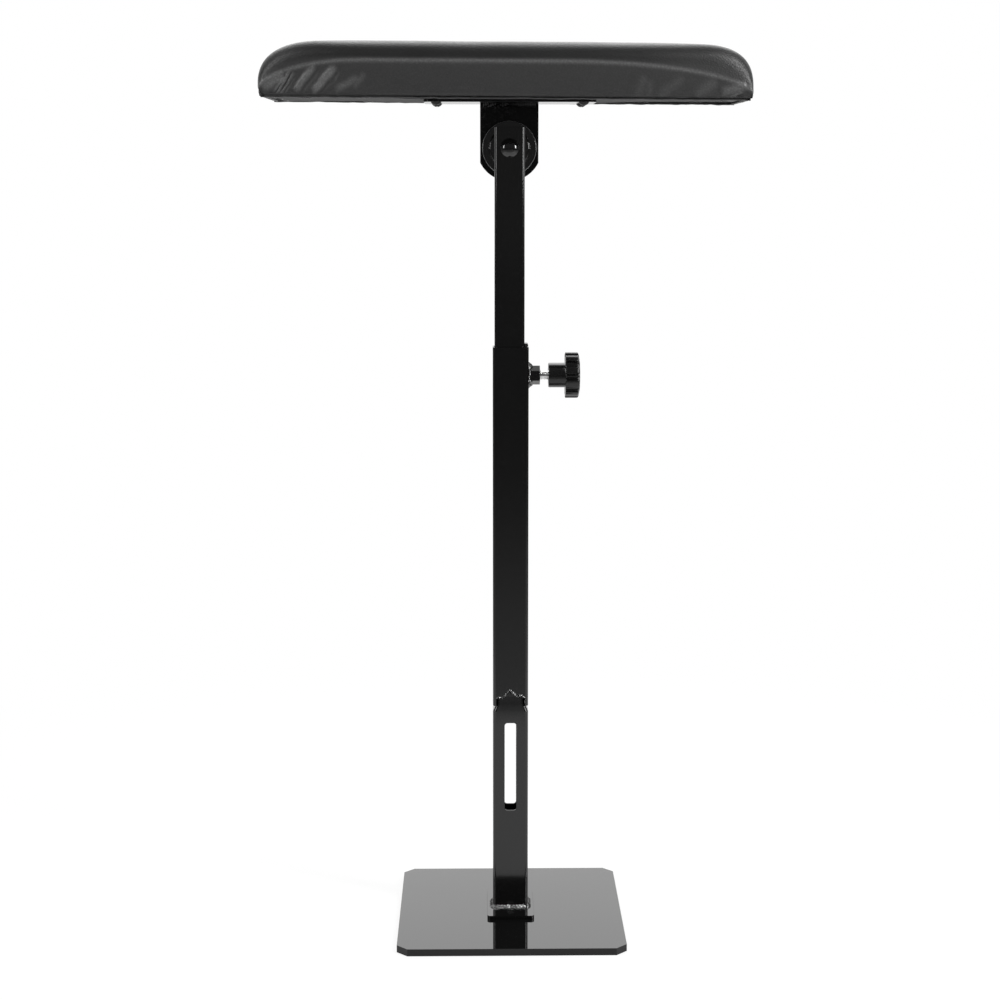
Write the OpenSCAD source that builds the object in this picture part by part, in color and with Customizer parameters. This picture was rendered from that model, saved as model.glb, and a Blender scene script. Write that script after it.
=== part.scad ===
// Tattoo arm rest stand: a long padded rest on a ratchet hinge, carried by a telescopic mast that a
// side knob clamps, on a slotted lower post welded to a foot flange and screwed to a steel plate.
// Millimetres, +Z up. The origin is on the floor under the post axis. The front is -Y and the clamp
// knob is on the +X side.

/* [Base plate] */
// Width of the base plate
base_w = 190; // [150:1:260]
// Depth of the base plate
base_d = 190; // [150:1:260]
// Thickness of the base plate
base_t = 6; // [5:0.5:12]
// Leg of the cut across each corner of the base plate
base_corner = 9; // [4:0.5:25]

/* [Foot flange] */
// Width of the sole flange under the post
flange_w = 40; // [36:1:60]
// Depth of the sole flange
flange_d = 60; // [48:1:90]
// Thickness of the sole flange
flange_t = 3; // [2.5:0.5:8]
// Corner radius of the sole flange
flange_corner = 3; // [1:0.5:8]
// Thread diameter of the two countersunk screws from below
foot_screw_d = 6; // [4:0.5:6]
// Head diameter of the countersunk screws
foot_head_d = 11.5; // [10:0.5:12]
// Distance between the two screws, front to back
foot_pitch = 43; // [40:1:46]
// Key size across flats in the screw heads
foot_key = 4; // [2.5:0.5:4.5]
// Leg of the weld bead round the foot of the post
foot_weld_leg = 4; // [2:0.5:5]

/* [Lower post] */
// Width of the post tube, shared by the lower post and the outer tube
post_w = 30; // [29:0.5:34]
// Depth of the post tube
post_d = 20; // [19:0.5:26]
// Outer corner radius of the post tube
post_corner = 3; // [1.5:0.25:4]
// Wall of the lower post
post_wall = 1.5; // [1:0.1:2.5]
// Length of the lower post up to its shoulder
post_h = 173.5; // [130:0.5:220]
// Height of the shoulder where the post narrows to its neck
shoulder_h = 5; // [3:0.5:12]
// Width of the neck that enters the outer tube
neck_w = 24.4; // [22:0.2:26]
// Length of the neck above the shoulder
neck_h = 18; // [10:1:30]
// Width of the long slot through the front and back walls
slot_w = 10; // [6:0.5:14]
// Length of the slot
slot_h = 77; // [30:1:80]
// Height of the slot's lower end above the sole flange
slot_rise = 86.5; // [20:0.5:90]
// Corner radius of the slot's ends
slot_corner = 2.5; // [1:0.5:4.5]

/* [Outer tube] */
// Length of the outer tube
outer_h = 306; // [290:1:420]
// Wall of the outer tube
outer_wall = 1.2; // [0.8:0.1:1.6]
// Height of the welding notch in the front and back walls at the lower end
notch_h = 8; // [5:0.5:14]
// Leg of the weld bead in the notch
notch_weld_leg = 3; // [1.5:0.5:4]

/* [Height clamp] */
// Distance from the rim of the outer tube down to the clamp axis
clamp_drop = 24; // [18:0.5:40]
// Size of the weld nut across its flats
nut_af = 14; // [13:0.5:17]
// Length of the weld nut
nut_l = 9.5; // [6:0.5:12]
// Leg of the weld bead round the nut
nut_weld_leg = 3.6; // [2:0.1:4]
// Thread diameter of the clamp stud
stud_d = 8; // [6:0.5:9]
// Bare length of the stud between the nut and the knob when clamped
stud_show = 7; // [4:0.5:20]
// Depth of the stud inside the knob
stud_seat = 20; // [8:0.5:23]
// Diameter of the knob's hub
hub_d = 20.6; // [16:0.2:24]
// Length of the knob's hub
hub_l = 14; // [8:0.5:24]
// Diameter over the lobes of the knob's head
head_d = 38; // [34:0.5:50]
// Thickness of the knob's head
head_l = 12.6; // [10:0.2:18]
// Number of lobes on the knob's head
lobes = 10; // [6:1:12]
// Diameter of each lobe
lobe_d = 8.4; // [6:0.2:10]
// Diameter of the head at the bottom of the hollows between the lobes
hollow_d = 32.4; // [26:0.2:33]
// Thickness of the steel shim that the stud presses on the mast
shim_t = 1; // [0.6:0.1:1.2]
// Width of the shim
shim_w = 12; // [8:0.5:13]
// Length of the shim below the rim
shim_h = 46; // [36:1:60]
// Height of the rolled lug that hooks the shim over the rim
lug_h = 2.5; // [1.5:0.1:4]
// Length of the rolled lug
lug_l = 3; // [2:0.1:4]

/* [Mast] */
// Width of the mast tube
inner_w = 25; // [24:0.5:25.5]
// Depth of the mast tube
inner_d = 15; // [13:0.5:16.5]
// Outer corner radius of the mast tube
inner_corner = 2.75; // [1:0.25:3]
// Wall of the mast tube
inner_wall = 1.2; // [1:0.1:2]
// Full length of the mast tube
inner_l = 330; // [320:1:345]
// Length of the mast that shows above the outer tube
mast_show = 181; // [178:1:200]
// Thickness of the glide plug's shoe below the mast
plug_shoe = 4; // [2:0.5:6]
// Length of the glide plug's stem inside the mast
plug_stem = 18; // [8:1:40]

/* [Hinge] */
// Distance from the top of the mast down to the hinge axis
pivot_drop = 17; // [14:0.5:19]
// Shank diameter of the hinge rivet
rivet_d = 8; // [6:0.5:8.5]
// Diameter of the rivet's domed head
rivet_head_d = 15.5; // [12:0.5:20]
// Height of the domed head
rivet_head_h = 4; // [2:0.25:6]
// Diameter of the rivet's formed tail
rivet_tail_d = 13; // [11:0.5:16]
// Height of the formed tail
rivet_tail_h = 2.5; // [1.5:0.25:4]
// Outer diameter of the spacer bush inside the mast
bush_d = 12; // [11:0.25:12]
// Diameter of the washer behind the tab
washer_d = 18; // [16:0.5:26]
// Thickness of the washer
washer_t = 1.5; // [1:0.25:3]
// Diameter of both hinge discs
disc_d = 45; // [44:0.5:48]
// Diameter of the raised boss on the front disc
boss_d = 34; // [33.5:0.1:38]
// Height of the raised boss
boss_h = 2; // [1.5:0.1:3]
// Sheet thickness of the front disc
disc_sheet = 1.5; // [1:0.1:1.6]
// Thickness of the toothed disc
ring_t = 3; // [2.5:0.1:5]
// Depth of the toothed recess in it
ring_depth = 1.7; // [1.2:0.1:2]
// Radius at the tips of the inner teeth
tooth_tip_r = 13.8; // [13.6:0.1:14]
// Height of the inner teeth
tooth_h = 1.5; // [1.4:0.1:1.6]
// Number of inner teeth
teeth = 24; // [24:24:24]
// Diameter of the pin that the pawl rocks on
pin_d = 3.6; // [3:0.1:3.8]
// Wall of the pawl's eye round the pin
pawl_eye = 1.4; // [1.2:0.1:1.5]
// Wire thickness of the pawl's spring
spring_t = 0.6; // [0.4:0.1:0.8]

/* [Pad carrier] */
// Width of the tab that hangs from the pad
tab_w = 48.5; // [46:0.5:60]
// Thickness of the tab
tab_t = 4; // [2.5:0.5:6]
// Radius of the tab's lower end about the hinge axis
tab_r = 27; // [26:0.5:36]
// Height from the hinge axis to the mounting plate
carrier_h = 36.5; // [34:0.5:60]
// Width of the mounting plate
plate_w = 140; // [100:1:200]
// Depth of the mounting plate
plate_d = 60; // [50:1:76]
// Thickness of the mounting plate
plate_t = 3; // [2:0.5:6]
// Corner radius of the mounting plate
plate_corner = 6; // [2:0.5:10]
// Leg of the weld beads between the tab and the plate
tab_weld_leg = 3; // [2:0.5:4]
// Distance between the pad screws, left to right
screw_pitch_x = 120; // [80:1:126]
// Distance between the pad screws, front to back
screw_pitch_y = 42; // [34:1:46]
// Shank diameter of the pad screws
screw_d = 4.2; // [3:0.2:5]
// Length of the pad screws under the head
screw_l = 14; // [10:0.5:16]
// Head diameter of the pad screws
screw_head_d = 8.5; // [7:0.5:10]
// Head height of the pad screws
screw_head_h = 2.6; // [1.5:0.1:4]

/* [Pad] */
// Length of the pad
pad_l = 397; // [340:1:520]
// Distance that the pad sits off the mast, away from the knob
pad_offset = 3.5; // [0:0.5:8]
// Depth of the pad at its ends
pad_d = 120; // [110:1:160]
// Height of the cover from its underside to the crown
pad_h = 45.5; // [36:0.5:70]
// Height of the crown above the shoulders
crown_h = 2.5; // [0:0.5:8]
// Depth that the long sides draw in at mid length
waist = 1.5; // [0:0.5:5]
// Plan radius of the pad's corners
pad_corner = 20; // [12:1:30]
// Horizontal reach of the rounded ends
end_reach = 54; // [30:1:80]
// Horizontal reach of the rounded long shoulders
side_reach = 17; // [8:1:26]
// Thickness of the plywood board
board_t = 12; // [9:0.5:18]
// Thickness of the leatherette cover
cover_t = 1; // [0.6:0.1:2]
// Distance that the cover tucks in below the board
tuck = 5; // [3:0.5:8]
// Width of the cover's margin turned under the board
margin_w = 24; // [20:1:34]
// Thickness of the lining over the underside
lining_t = 0.5; // [0.4:0.1:1]
// Distance from the pad's edge to the edge of the lining
lining_inset = 13; // [10:0.5:16]
// Distance from the pad's edge to the row of staples
staple_inset = 18; // [17:0.5:22]
// Number of staples along each long side
staples_long = 8; // [4:1:12]
// Number of staples along each short side
staples_short = 2; // [2:1:3]
// Length of a staple's crown
staple_l = 10; // [6:0.5:12]
// Wire thickness of a staple
staple_t = 0.7; // [0.5:0.1:1]
// Depth of a staple's legs in the board
staple_bite = 5; // [3:0.5:7]

/* [Fits] */
// Play between the moving tubes and round the soft parts
play = 0.3; // [0.2:0.05:0.4]
// Running gap between turning faces and round shafts
run_gap = 0.2; // [0.1:0.05:0.25]
// Gap round threads and pressed pins
thread_gap = 0.05; // [0.02:0.01:0.1]

/* [Hidden] */

$fn = 64;
// Overrun of every cut past the faces that it opens
over = 1;

flange_z = base_t + flange_t;
shoulder_z = flange_z + post_h;
outer_z = shoulder_z + shoulder_h;
rim_z = outer_z + outer_h;
clamp_z = rim_z - clamp_drop;
bore_w = post_w - 2 * outer_wall;
bore_d = post_d - 2 * outer_wall;
neck_d = bore_d - 2 * run_gap;
notch_w = neck_w;
outer_face = post_w / 2;

// The mast leans on the left wall of the bore, and the shim fills the right side.
mast_x = play + inner_w / 2 - bore_w / 2;
mast_top = rim_z + mast_show;
mast_z = mast_top - inner_l;
pivot_z = mast_top - pivot_drop;

shim_x = mast_x + inner_w / 2 + run_gap / 2;
stud_tip = shim_x + shim_t + run_gap / 2;
nut_x = outer_face;
hub_x = nut_x + nut_l + stud_show;
head_x = hub_x + hub_l;
stud_end = hub_x + stud_seat;
nut_corner_d = nut_af / cos(30);

// The hinge stack, from the back of the mast to the tail of the rivet.
mast_back = inner_d / 2;
disc_back = mast_back + boss_h + disc_sheet;
ring_y = disc_back + run_gap;
tab_y = ring_y + ring_t;
washer_y = tab_y + tab_t + run_gap;
tail_y = washer_y + washer_t;
rivet_bore = rivet_d + 2 * run_gap;

// The pawl rocks on a pin beside the rivet, and its nose points straight down into a tooth gap.
tooth_root_r = tooth_tip_r + tooth_h;
half_step = 180 / teeth;
pin_shares = [-0.667, -0.319];
pin_at = pin_shares * tooth_tip_r;
eye_r = pin_d / 2 + pawl_eye;
arm_share = 0.56;
arm = arm_share * eye_r;
nose_r = tooth_root_r - play;
nose_top = tooth_tip_r * cos(half_step);
nose_half = (nose_r - nose_top) * tooth_tip_r * sin(half_step) / (tooth_root_r - nose_top);
nose_depth_share = 0.69;
nose_inner = nose_depth_share * tooth_tip_r;
// Angle from the tooth gap up to the clear position in which the pawl is drawn
pawl_lift = 9;
pawl_front = mast_back + disc_sheet + run_gap;
pawl_back = ring_y + ring_depth - run_gap;

// The spring's foot stands square to the pawl's inner edge as drawn.
function lifted(p) = let (q = p - pin_at)
  pin_at + [q[0] * cos(pawl_lift) - q[1] * sin(pawl_lift),
    q[0] * sin(pawl_lift) + q[1] * cos(pawl_lift)];
edge_from = lifted(pin_at + [arm, arm]);
edge_to = lifted([nose_half, -nose_inner]);
edge_run = edge_to - edge_from;
edge_gap = abs(edge_from[0] * edge_to[1] - edge_from[1] * edge_to[0]) / norm(edge_run);
edge_turn = atan2(edge_run[1], edge_run[0]) - 90;

plate_z = pivot_z + carrier_h;
lining_z = plate_z + plate_t;
cover_z = lining_z + lining_t;
board_z = cover_z + cover_t;
pad_x = mast_x - pad_offset;
pad_half = [pad_l / 2, pad_d / 2];
board_half = pad_half - [cover_t + tuck + play / 2, cover_t + tuck + waist + play / 2];
board_corner = pad_corner;
belly_h = cover_t + board_t;

module rounded(w, d, r) {
  square([w - 2 * r, d], center = true);
  square([w, d - 2 * r], center = true);
  for (x = [-1, 1], y = [-1, 1])
    translate([x * (w / 2 - r), y * (d / 2 - r)]) circle(r);
}

module rounded_ring(w, d, r, wall) {
  difference() {
    rounded(w, d, r);
    rounded(w - 2 * wall, d - 2 * wall, r - wall / 2);
  }
}

// A bar along Y from y0 to y1, centred on the given X and Z
module along_y(x, z, y0, y1) {
  translate([x, y1, z]) rotate([90, 0, 0]) linear_extrude(y1 - y0) children();
}

// A bar along X from x0 to x1, with its section's first axis along Y and its second along Z
module along_x(x0, x1, z) {
  translate([x0, 0, z]) rotate([90, 0, 90]) linear_extrude(x1 - x0) children();
}

// A shallow dome on the XY plane
module dome(d, h) {
  ball_r = (d * d / 4 + h * h) / (2 * h);
  intersection() {
    translate([0, 0, h - ball_r]) sphere(ball_r, $fn = 96);
    cylinder(h = h, d = d);
  }
}

// A fillet that slopes out from a rounded bar, drawn round the bar's foot
module fillet_ring(w, d, r, leg) {
  difference() {
    hull() {
      linear_extrude(leg / 8) rounded(w + 2 * leg, d + 2 * leg, r + leg, $fn = 32);
      linear_extrude(leg) rounded(w + leg / 4, d + leg / 4, r, $fn = 32);
    }
    translate([0, 0, -over]) linear_extrude(leg + 2 * over) rounded(w, d, r);
  }
}

module base_plate() {
  x = base_w / 2;
  y = base_d / 2;
  c = base_corner;
  color("#101113")
    difference() {
      linear_extrude(base_t)
        polygon([[c - x, -y], [x - c, -y], [x, c - y], [x, y - c],
          [x - c, y], [c - x, y], [-x, y - c], [-x, c - y]]);
      foot_screw_places() foot_screw_shape(2 * thread_gap, over);
    }
}

module foot_screw_places() {
  for (y = [-1, 1]) translate([0, y * foot_pitch / 2, 0]) children();
}

// The countersunk screw from below, grown by the gap, with its head run out past the underside
module foot_screw_shape(gap, run) {
  head_h = (foot_head_d - foot_screw_d) / 2;
  translate([0, 0, -run]) cylinder(h = run + thread_gap, d = foot_head_d + gap);
  translate([0, 0, thread_gap])
    cylinder(h = head_h, d1 = foot_head_d + gap, d2 = foot_screw_d + gap);
  translate([0, 0, -run]) cylinder(h = flange_z + run - thread_gap, d = foot_screw_d + gap);
}

module foot_flange() {
  color("#101113")
    translate([0, 0, base_t]) difference() {
      linear_extrude(flange_t) rounded(flange_w, flange_d, flange_corner);
      foot_screw_places()
        translate([0, 0, -over])
          cylinder(h = flange_t + 2 * over, d = foot_screw_d + 2 * thread_gap);
    }
}

module flange_screws() {
  color("#8d9094")
    foot_screw_places() difference() {
      foot_screw_shape(0, 0);
      translate([0, 0, -over]) cylinder(h = foot_key / 2 + over, d = foot_key / cos(30), $fn = 6);
    }
}

module foot_weld() {
  color("#17181a")
    translate([0, 0, flange_z]) fillet_ring(post_w, post_d, post_corner, foot_weld_leg);
}

module lower_post() {
  color("#15161a")
    difference() {
      union() {
        translate([0, 0, flange_z]) linear_extrude(post_h) rounded(post_w, post_d, post_corner);
        hull() {
          translate([0, 0, shoulder_z - post_wall])
            linear_extrude(post_wall) rounded(post_w, post_d, post_corner, $fn = 32);
          translate([0, 0, outer_z])
            linear_extrude(post_wall) rounded(neck_w, neck_d, post_corner, $fn = 32);
        }
        translate([0, 0, outer_z]) linear_extrude(neck_h) rounded(neck_w, neck_d, post_corner);
      }
      translate([0, 0, flange_z - over])
        linear_extrude(post_h - post_wall + over)
          rounded(post_w - 2 * post_wall, post_d - 2 * post_wall, post_corner - post_wall / 2);
      translate([0, 0, shoulder_z - 2 * post_wall])
        linear_extrude(shoulder_h + neck_h + 2 * post_wall + over)
          rounded(neck_w - 2 * post_wall, neck_d - 2 * post_wall, post_corner - post_wall / 2);
      along_y(0, flange_z + slot_rise + slot_h / 2, -post_d / 2 - over, post_d / 2 + over)
        rounded(slot_w, slot_h, slot_corner);
    }
}

module outer_tube() {
  color("#15161a")
    difference() {
      translate([0, 0, outer_z])
        linear_extrude(outer_h) rounded_ring(post_w, post_d, post_corner, outer_wall);
      along_y(0, outer_z, -post_d / 2 - over, post_d / 2 + over)
        square([notch_w, 2 * notch_h], center = true);
      along_x(0, outer_face + over, clamp_z) circle(d = stud_d + 2 * run_gap);
    }
}

// Beads that join the notched walls of the outer tube to the neck, front and back
module post_weld() {
  leg = notch_weld_leg;
  color("#1b1c1f")
    for (side = [0, 180])
      rotate([0, 0, side]) translate([-notch_w / 2, -neck_d / 2, outer_z + notch_h])
        rotate([90, 0, 90]) linear_extrude(notch_w)
          polygon([[0, 0], [0, -leg], [-leg / 4, -leg], [-leg / 2, -leg / 2],
            [-leg / 2, 0]]);
}

module weld_nut() {
  color("#222326")
    along_x(nut_x, nut_x + nut_l, clamp_z) difference() {
      rotate(30) circle(d = nut_corner_d, $fn = 6);
      circle(d = stud_d + 2 * run_gap);
    }
}

// Round bead between the outer tube and the nut
module nut_weld() {
  flat_w = post_d - 2 * post_corner + post_corner / 2;
  tall = nut_corner_d + 2 * nut_weld_leg;
  color("#1b1c1f")
    difference() {
      intersection() {
        translate([nut_x, 0, clamp_z]) rotate([0, 90, 0])
          cylinder(h = nut_weld_leg, d1 = tall, d2 = nut_corner_d + nut_weld_leg / 4);
        along_x(nut_x, nut_x + nut_l, clamp_z) square([flat_w, tall], center = true);
      }
      along_x(nut_x - over, nut_x + nut_l, clamp_z) rotate(30) circle(d = nut_corner_d, $fn = 6);
    }
}

module pressure_shim() {
  lug_z = rim_z + play;
  color("#1a1b1d") {
    translate([shim_x, -shim_w / 2, rim_z - shim_h])
      cube([shim_t, shim_w, shim_h + play + lug_h / 2]);
    translate([shim_x, 0, lug_z]) rotate([90, 0, 0]) linear_extrude(shim_w, center = true) {
      square([lug_l - lug_h / 2, lug_h]);
      translate([lug_l - lug_h / 2, lug_h / 2]) circle(d = lug_h);
    }
  }
}

module clamp_stud() {
  color("#b9bcc0")
    along_x(stud_tip, stud_end, clamp_z) circle(d = stud_d);
}

module star_knob() {
  lobe_at = head_d / 2 - lobe_d / 2;
  color("#141517")
    difference() {
      union() {
        along_x(hub_x, head_x + head_l / 2, clamp_z) circle(d = hub_d);
        along_x(head_x, head_x + head_l, clamp_z) {
          circle(d = hollow_d);
          for (k = [0 : lobes - 1])
            rotate(90 + k * 360 / lobes) translate([lobe_at, 0]) circle(d = lobe_d, $fn = 32);
        }
      }
      along_x(hub_x - over, stud_end + thread_gap, clamp_z) circle(d = stud_d + 2 * thread_gap);
    }
}

module mast_tube() {
  color("#15161a")
    difference() {
      translate([mast_x, 0, mast_z])
        linear_extrude(inner_l) rounded_ring(inner_w, inner_d, inner_corner, inner_wall);
      along_y(mast_x, pivot_z, -inner_d / 2 - over, inner_d / 2 + over)
        circle(d = rivet_d + 2 * thread_gap);
    }
}

// Plastic shoe that fills the bore of the outer tube, on a stem pressed into the mast
module glide_plug() {
  stem_r = inner_corner - inner_wall / 2;
  color("#2b2c2e") {
    translate([0, 0, mast_z - plug_shoe])
      linear_extrude(plug_shoe)
        rounded(bore_w - 2 * play, bore_d - 2 * play, post_corner - outer_wall / 2);
    translate([mast_x, 0, mast_z - plug_shoe / 2])
      linear_extrude(plug_stem + plug_shoe / 2)
        rounded(inner_w - 2 * inner_wall - 2 * thread_gap,
          inner_d - 2 * inner_wall - 2 * thread_gap, stem_r);
  }
}

module spacer_bush() {
  inside = mast_back - inner_wall;
  color("#6f7276")
    along_y(mast_x, pivot_z, -inside, inside) difference() {
      circle(d = bush_d);
      circle(d = rivet_d + 2 * thread_gap);
    }
}

// Turns a profile, drawn as radius against depth behind the mast, about the hinge axis
module about_hinge() {
  translate([mast_x, 0, pivot_z]) rotate([-90, 0, 0]) rotate_extrude($fn = 128) children();
}

module hinge_front_disc() {
  boss_r = boss_d / 2;
  bore_r = rivet_d / 2 + thread_gap;
  color("#1d1e21")
    difference() {
      about_hinge() {
        translate([bore_r, mast_back]) square([boss_r - bore_r, disc_sheet]);
        translate([boss_r - disc_sheet, mast_back]) square([disc_sheet, boss_h + disc_sheet]);
        translate([boss_r - disc_sheet, mast_back + boss_h])
          square([disc_d / 2 - boss_r + disc_sheet, disc_sheet]);
      }
      along_y(mast_x + pin_at[0], pivot_z + pin_at[1], mast_back - over, disc_back)
        circle(d = pin_d);
    }
}

module hinge_rivet() {
  color("#1a1b1d") {
    along_y(mast_x, pivot_z, -mast_back, tail_y) circle(d = rivet_d);
    translate([mast_x, -mast_back, pivot_z]) rotate([90, 0, 0]) dome(rivet_head_d, rivet_head_h);
    translate([mast_x, tail_y, pivot_z]) rotate([-90, 0, 0]) dome(rivet_tail_d, rivet_tail_h);
  }
}

module hinge_washer() {
  color("#8d9094")
    along_y(mast_x, pivot_z, washer_y, tail_y) difference() {
      circle(d = washer_d);
      circle(d = rivet_d + 2 * thread_gap);
    }
}

module pawl_pin() {
  color("#8d9094")
    along_y(mast_x + pin_at[0], pivot_z + pin_at[1], mast_back, pawl_back) circle(d = pin_d);
}

// The pawl's arm and wedge nose, seated in a tooth gap, about the hinge axis
module pawl_arm() {
  polygon([pin_at + [arm, arm], [nose_half, -nose_inner], [nose_half, -nose_top],
    [0, -nose_r], [-nose_half, -nose_top], pin_at - [arm, arm]]);
}

module hinge_pawl() {
  pin_x = mast_x + pin_at[0];
  pin_z = pivot_z + pin_at[1];
  color("#8d9094")
    difference() {
      union() {
        along_y(pin_x, pin_z, pawl_front, pawl_back) circle(eye_r);
        along_y(pin_x, pin_z, pawl_front, pawl_back)
          rotate(pawl_lift) translate(-pin_at) pawl_arm();
      }
      along_y(pin_x, pin_z, pawl_front - over, pawl_back + over) circle(d = pin_d + 2 * run_gap);
    }
}

// A split ring round the rivet, with a foot against the pawl
module pawl_spring() {
  ring_r = rivet_d / 2 + run_gap + spring_t / 2;
  color("#a8abb0")
    along_y(mast_x, pivot_z, mast_back + disc_sheet, disc_back) {
      difference() {
        circle(ring_r + spring_t / 2);
        circle(ring_r - spring_t / 2);
        translate([0, -spring_t]) square([ring_r * 2, 2 * spring_t]);
      }
      rotate(edge_turn) translate([ring_r, -spring_t])
        square([edge_gap - run_gap - ring_r, 2 * spring_t]);
    }
}

module hinge_toothed_disc() {
  step = 360 / teeth;
  color("#1d1e21")
    difference() {
      along_y(mast_x, pivot_z, ring_y, tab_y) circle(d = disc_d, $fn = 128);
      along_y(mast_x, pivot_z, ring_y - over, tab_y + over) circle(d = rivet_bore);
      along_y(mast_x, pivot_z, ring_y - over, ring_y + ring_depth)
        polygon([for (k = [0 : teeth - 1], half = [0, 1])
          let (a = (k + half / 2) * step, r = half == 0 ? tooth_root_r : tooth_tip_r)
          [r * cos(a), r * sin(a)]]);
    }
}

module tab_bracket() {
  color("#101113")
    along_y(mast_x, pivot_z, tab_y, tab_y + tab_t) difference() {
      union() {
        translate([-tab_w / 2, 0]) square([tab_w, carrier_h]);
        intersection() {
          circle(tab_r, $fn = 128);
          square([tab_w, 2 * tab_r], center = true);
        }
      }
      circle(d = rivet_bore);
    }
}

module bracket_weld() {
  leg = tab_weld_leg;
  color("#17181a")
    for (side = [-1, 1])
      translate([mast_x - tab_w / 2 + leg, tab_y + tab_t / 2 + side * tab_t / 2, plate_z])
        rotate([90, 0, 90]) linear_extrude(tab_w - 2 * leg)
          polygon([[0, 0], [side * leg, 0], [side * leg / 3, -leg / 3], [0, -leg]]);
}

module screw_places() {
  for (x = [-1, 1], y = [-1, 1])
    translate([mast_x + x * screw_pitch_x / 2, y * screw_pitch_y / 2, 0]) children();
}

module mount_plate() {
  color("#101113")
    difference() {
      translate([mast_x, 0, plate_z])
        linear_extrude(plate_t) rounded(plate_w, plate_d, plate_corner);
      screw_places() translate([0, 0, plate_z - over])
        cylinder(h = plate_t + 2 * over, d = screw_d + 2 * run_gap);
    }
}

module mount_screws() {
  slot = screw_head_h / 3;
  color("#8d9094")
    screw_places() difference() {
      union() {
        translate([0, 0, plate_z]) cylinder(h = screw_l, d = screw_d);
        translate([0, 0, plate_z]) rotate([180, 0, 0]) dome(screw_head_d, screw_head_h);
      }
      for (turn = [0, 90])
        translate([0, 0, plate_z - screw_head_h]) rotate(turn)
          cube([screw_head_d / 2, slot, 2 * slot], center = true);
    }
}

module pad_board() {
  color("#b08d57")
    difference() {
      translate([pad_x, 0, board_z])
        linear_extrude(board_t) rounded(2 * board_half[0], 2 * board_half[1], board_corner);
      screw_places() translate([0, 0, board_z - over])
        cylinder(h = plate_z + screw_l - board_z + over + thread_gap, d = screw_d);
      staple_legs(thread_gap, thread_gap);
    }
}

// One ring of the pad: half sizes less the insets, at one height, drawn in at mid length
corner_steps = 4;
long_steps = 6;
short_steps = 2;
function ring_corner(a, b, r, sx, sy, from) =
  [for (k = [0 : corner_steps]) let (t = from + 90 * k / corner_steps)
    [sx * (a - r) + r * cos(t), sy * (b - r) + r * sin(t)]];
function between(p, q, n) = [for (k = [1 : n]) p + (q - p) * k / (n + 1)];
function ring_outline(a, b, r) =
  let (c1 = ring_corner(a, b, r, 1, -1, -90), c2 = ring_corner(a, b, r, 1, 1, 0),
    c3 = ring_corner(a, b, r, -1, 1, 90), c4 = ring_corner(a, b, r, -1, -1, 180))
  concat(c1, between(c1[corner_steps], c2[0], short_steps), c2,
    between(c2[corner_steps], c3[0], long_steps), c3,
    between(c3[corner_steps], c4[0], short_steps), c4,
    between(c4[corner_steps], c1[0], long_steps));
function drawn_in(p, a, b) = let (s = max(0, 1 - pow(p[0] / a, 2)))
  [p[0], p[1] * (1 - waist * s / pad_half[1] * min(1, abs(p[1]) / b))];
// Largest share of a ring's half depth that its corner may take
corner_share = 0.9;
function pad_ring(ix, iy, z) =
  let (a = pad_half[0] - ix, b = pad_half[1] - iy, r = min(pad_corner, b * corner_share))
  [for (p = ring_outline(a, b, r)) let (q = drawn_in(p, a, b)) [q[0], q[1], z]];
ring_n = 4 * (corner_steps + 1) + 2 * (long_steps + short_steps);

// Rings from the widest level over the shoulders to the crown, for a skin that is in by s
shoulder_power = 0.8;
shoulder_turns = [0, 22, 40, 56, 70, 90];
crown_shares = [[0.35, 0.6], [0.72, 0.95]];
function upper_rings(s) = let (top = pad_h - crown_h - belly_h)
  concat([for (t = shoulder_turns)
      let (in = 1 - pow(cos(t), shoulder_power), up = pow(sin(t), shoulder_power))
      pad_ring(s + in * end_reach, s + in * side_reach, belly_h + up * (top - s))],
    [for (c = crown_shares)
      pad_ring(s + end_reach + c[0] * (pad_half[0] - end_reach),
        s + side_reach + c[0] * (pad_half[1] - side_reach - s),
        pad_h - crown_h + c[1] * crown_h - s)]);
function lower_rings(s) =
  [pad_ring(margin_w, margin_w, s), pad_ring(tuck + s, tuck + s, s),
    pad_ring(tuck / 3 + s, tuck / 3 + s, s + tuck / 2)];

function strip(i, j) = [for (k = [0 : ring_n - 1]) let (n = (k + 1) % ring_n)
  each [[i + k, i + n, j + n], [i + k, j + n, j + k]]];
function flipped(faces) = [for (f = faces) [f[2], f[1], f[0]]];
function skin(first, count) = [for (r = [0 : count - 2])
  each strip(first + r * ring_n, first + (r + 1) * ring_n)];
function fan(first, centre) = [for (k = [0 : ring_n - 1])
  [first + k, first + (k + 1) % ring_n, centre]];

module foam_core() {
  gap = cover_t + play / 2;
  rings = upper_rings(gap);
  last = (len(rings) - 1) * ring_n;
  points = concat([for (r = rings) each r], [[0, 0, pad_h - gap]], [[0, 0, belly_h]]);
  centre = len(rings) * ring_n;
  color("#d9cfa8")
    translate([pad_x, 0, cover_z])
      polyhedron(points, concat(flipped(skin(0, len(rings))), flipped(fan(last, centre)),
        fan(0, centre + 1)), convexity = 4);
}

module pad_cover() {
  outside = concat(lower_rings(0), upper_rings(0));
  inside = concat(lower_rings(cover_t), upper_rings(cover_t));
  count = len(outside);
  inner_first = count * ring_n;
  tip = 2 * count * ring_n;
  points = concat([for (r = outside) each r], [for (r = inside) each r],
    [[0, 0, pad_h], [0, 0, pad_h - cover_t]]);
  color("#232327")
    difference() {
      translate([pad_x, 0, cover_z])
        polyhedron(points, concat(flipped(skin(0, count)),
          flipped(fan((count - 1) * ring_n, tip)), skin(inner_first, count),
          fan(inner_first + (count - 1) * ring_n, tip + 1), strip(0, inner_first)),
          convexity = 8);
      staple_legs(thread_gap, thread_gap);
    }
}

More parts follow.
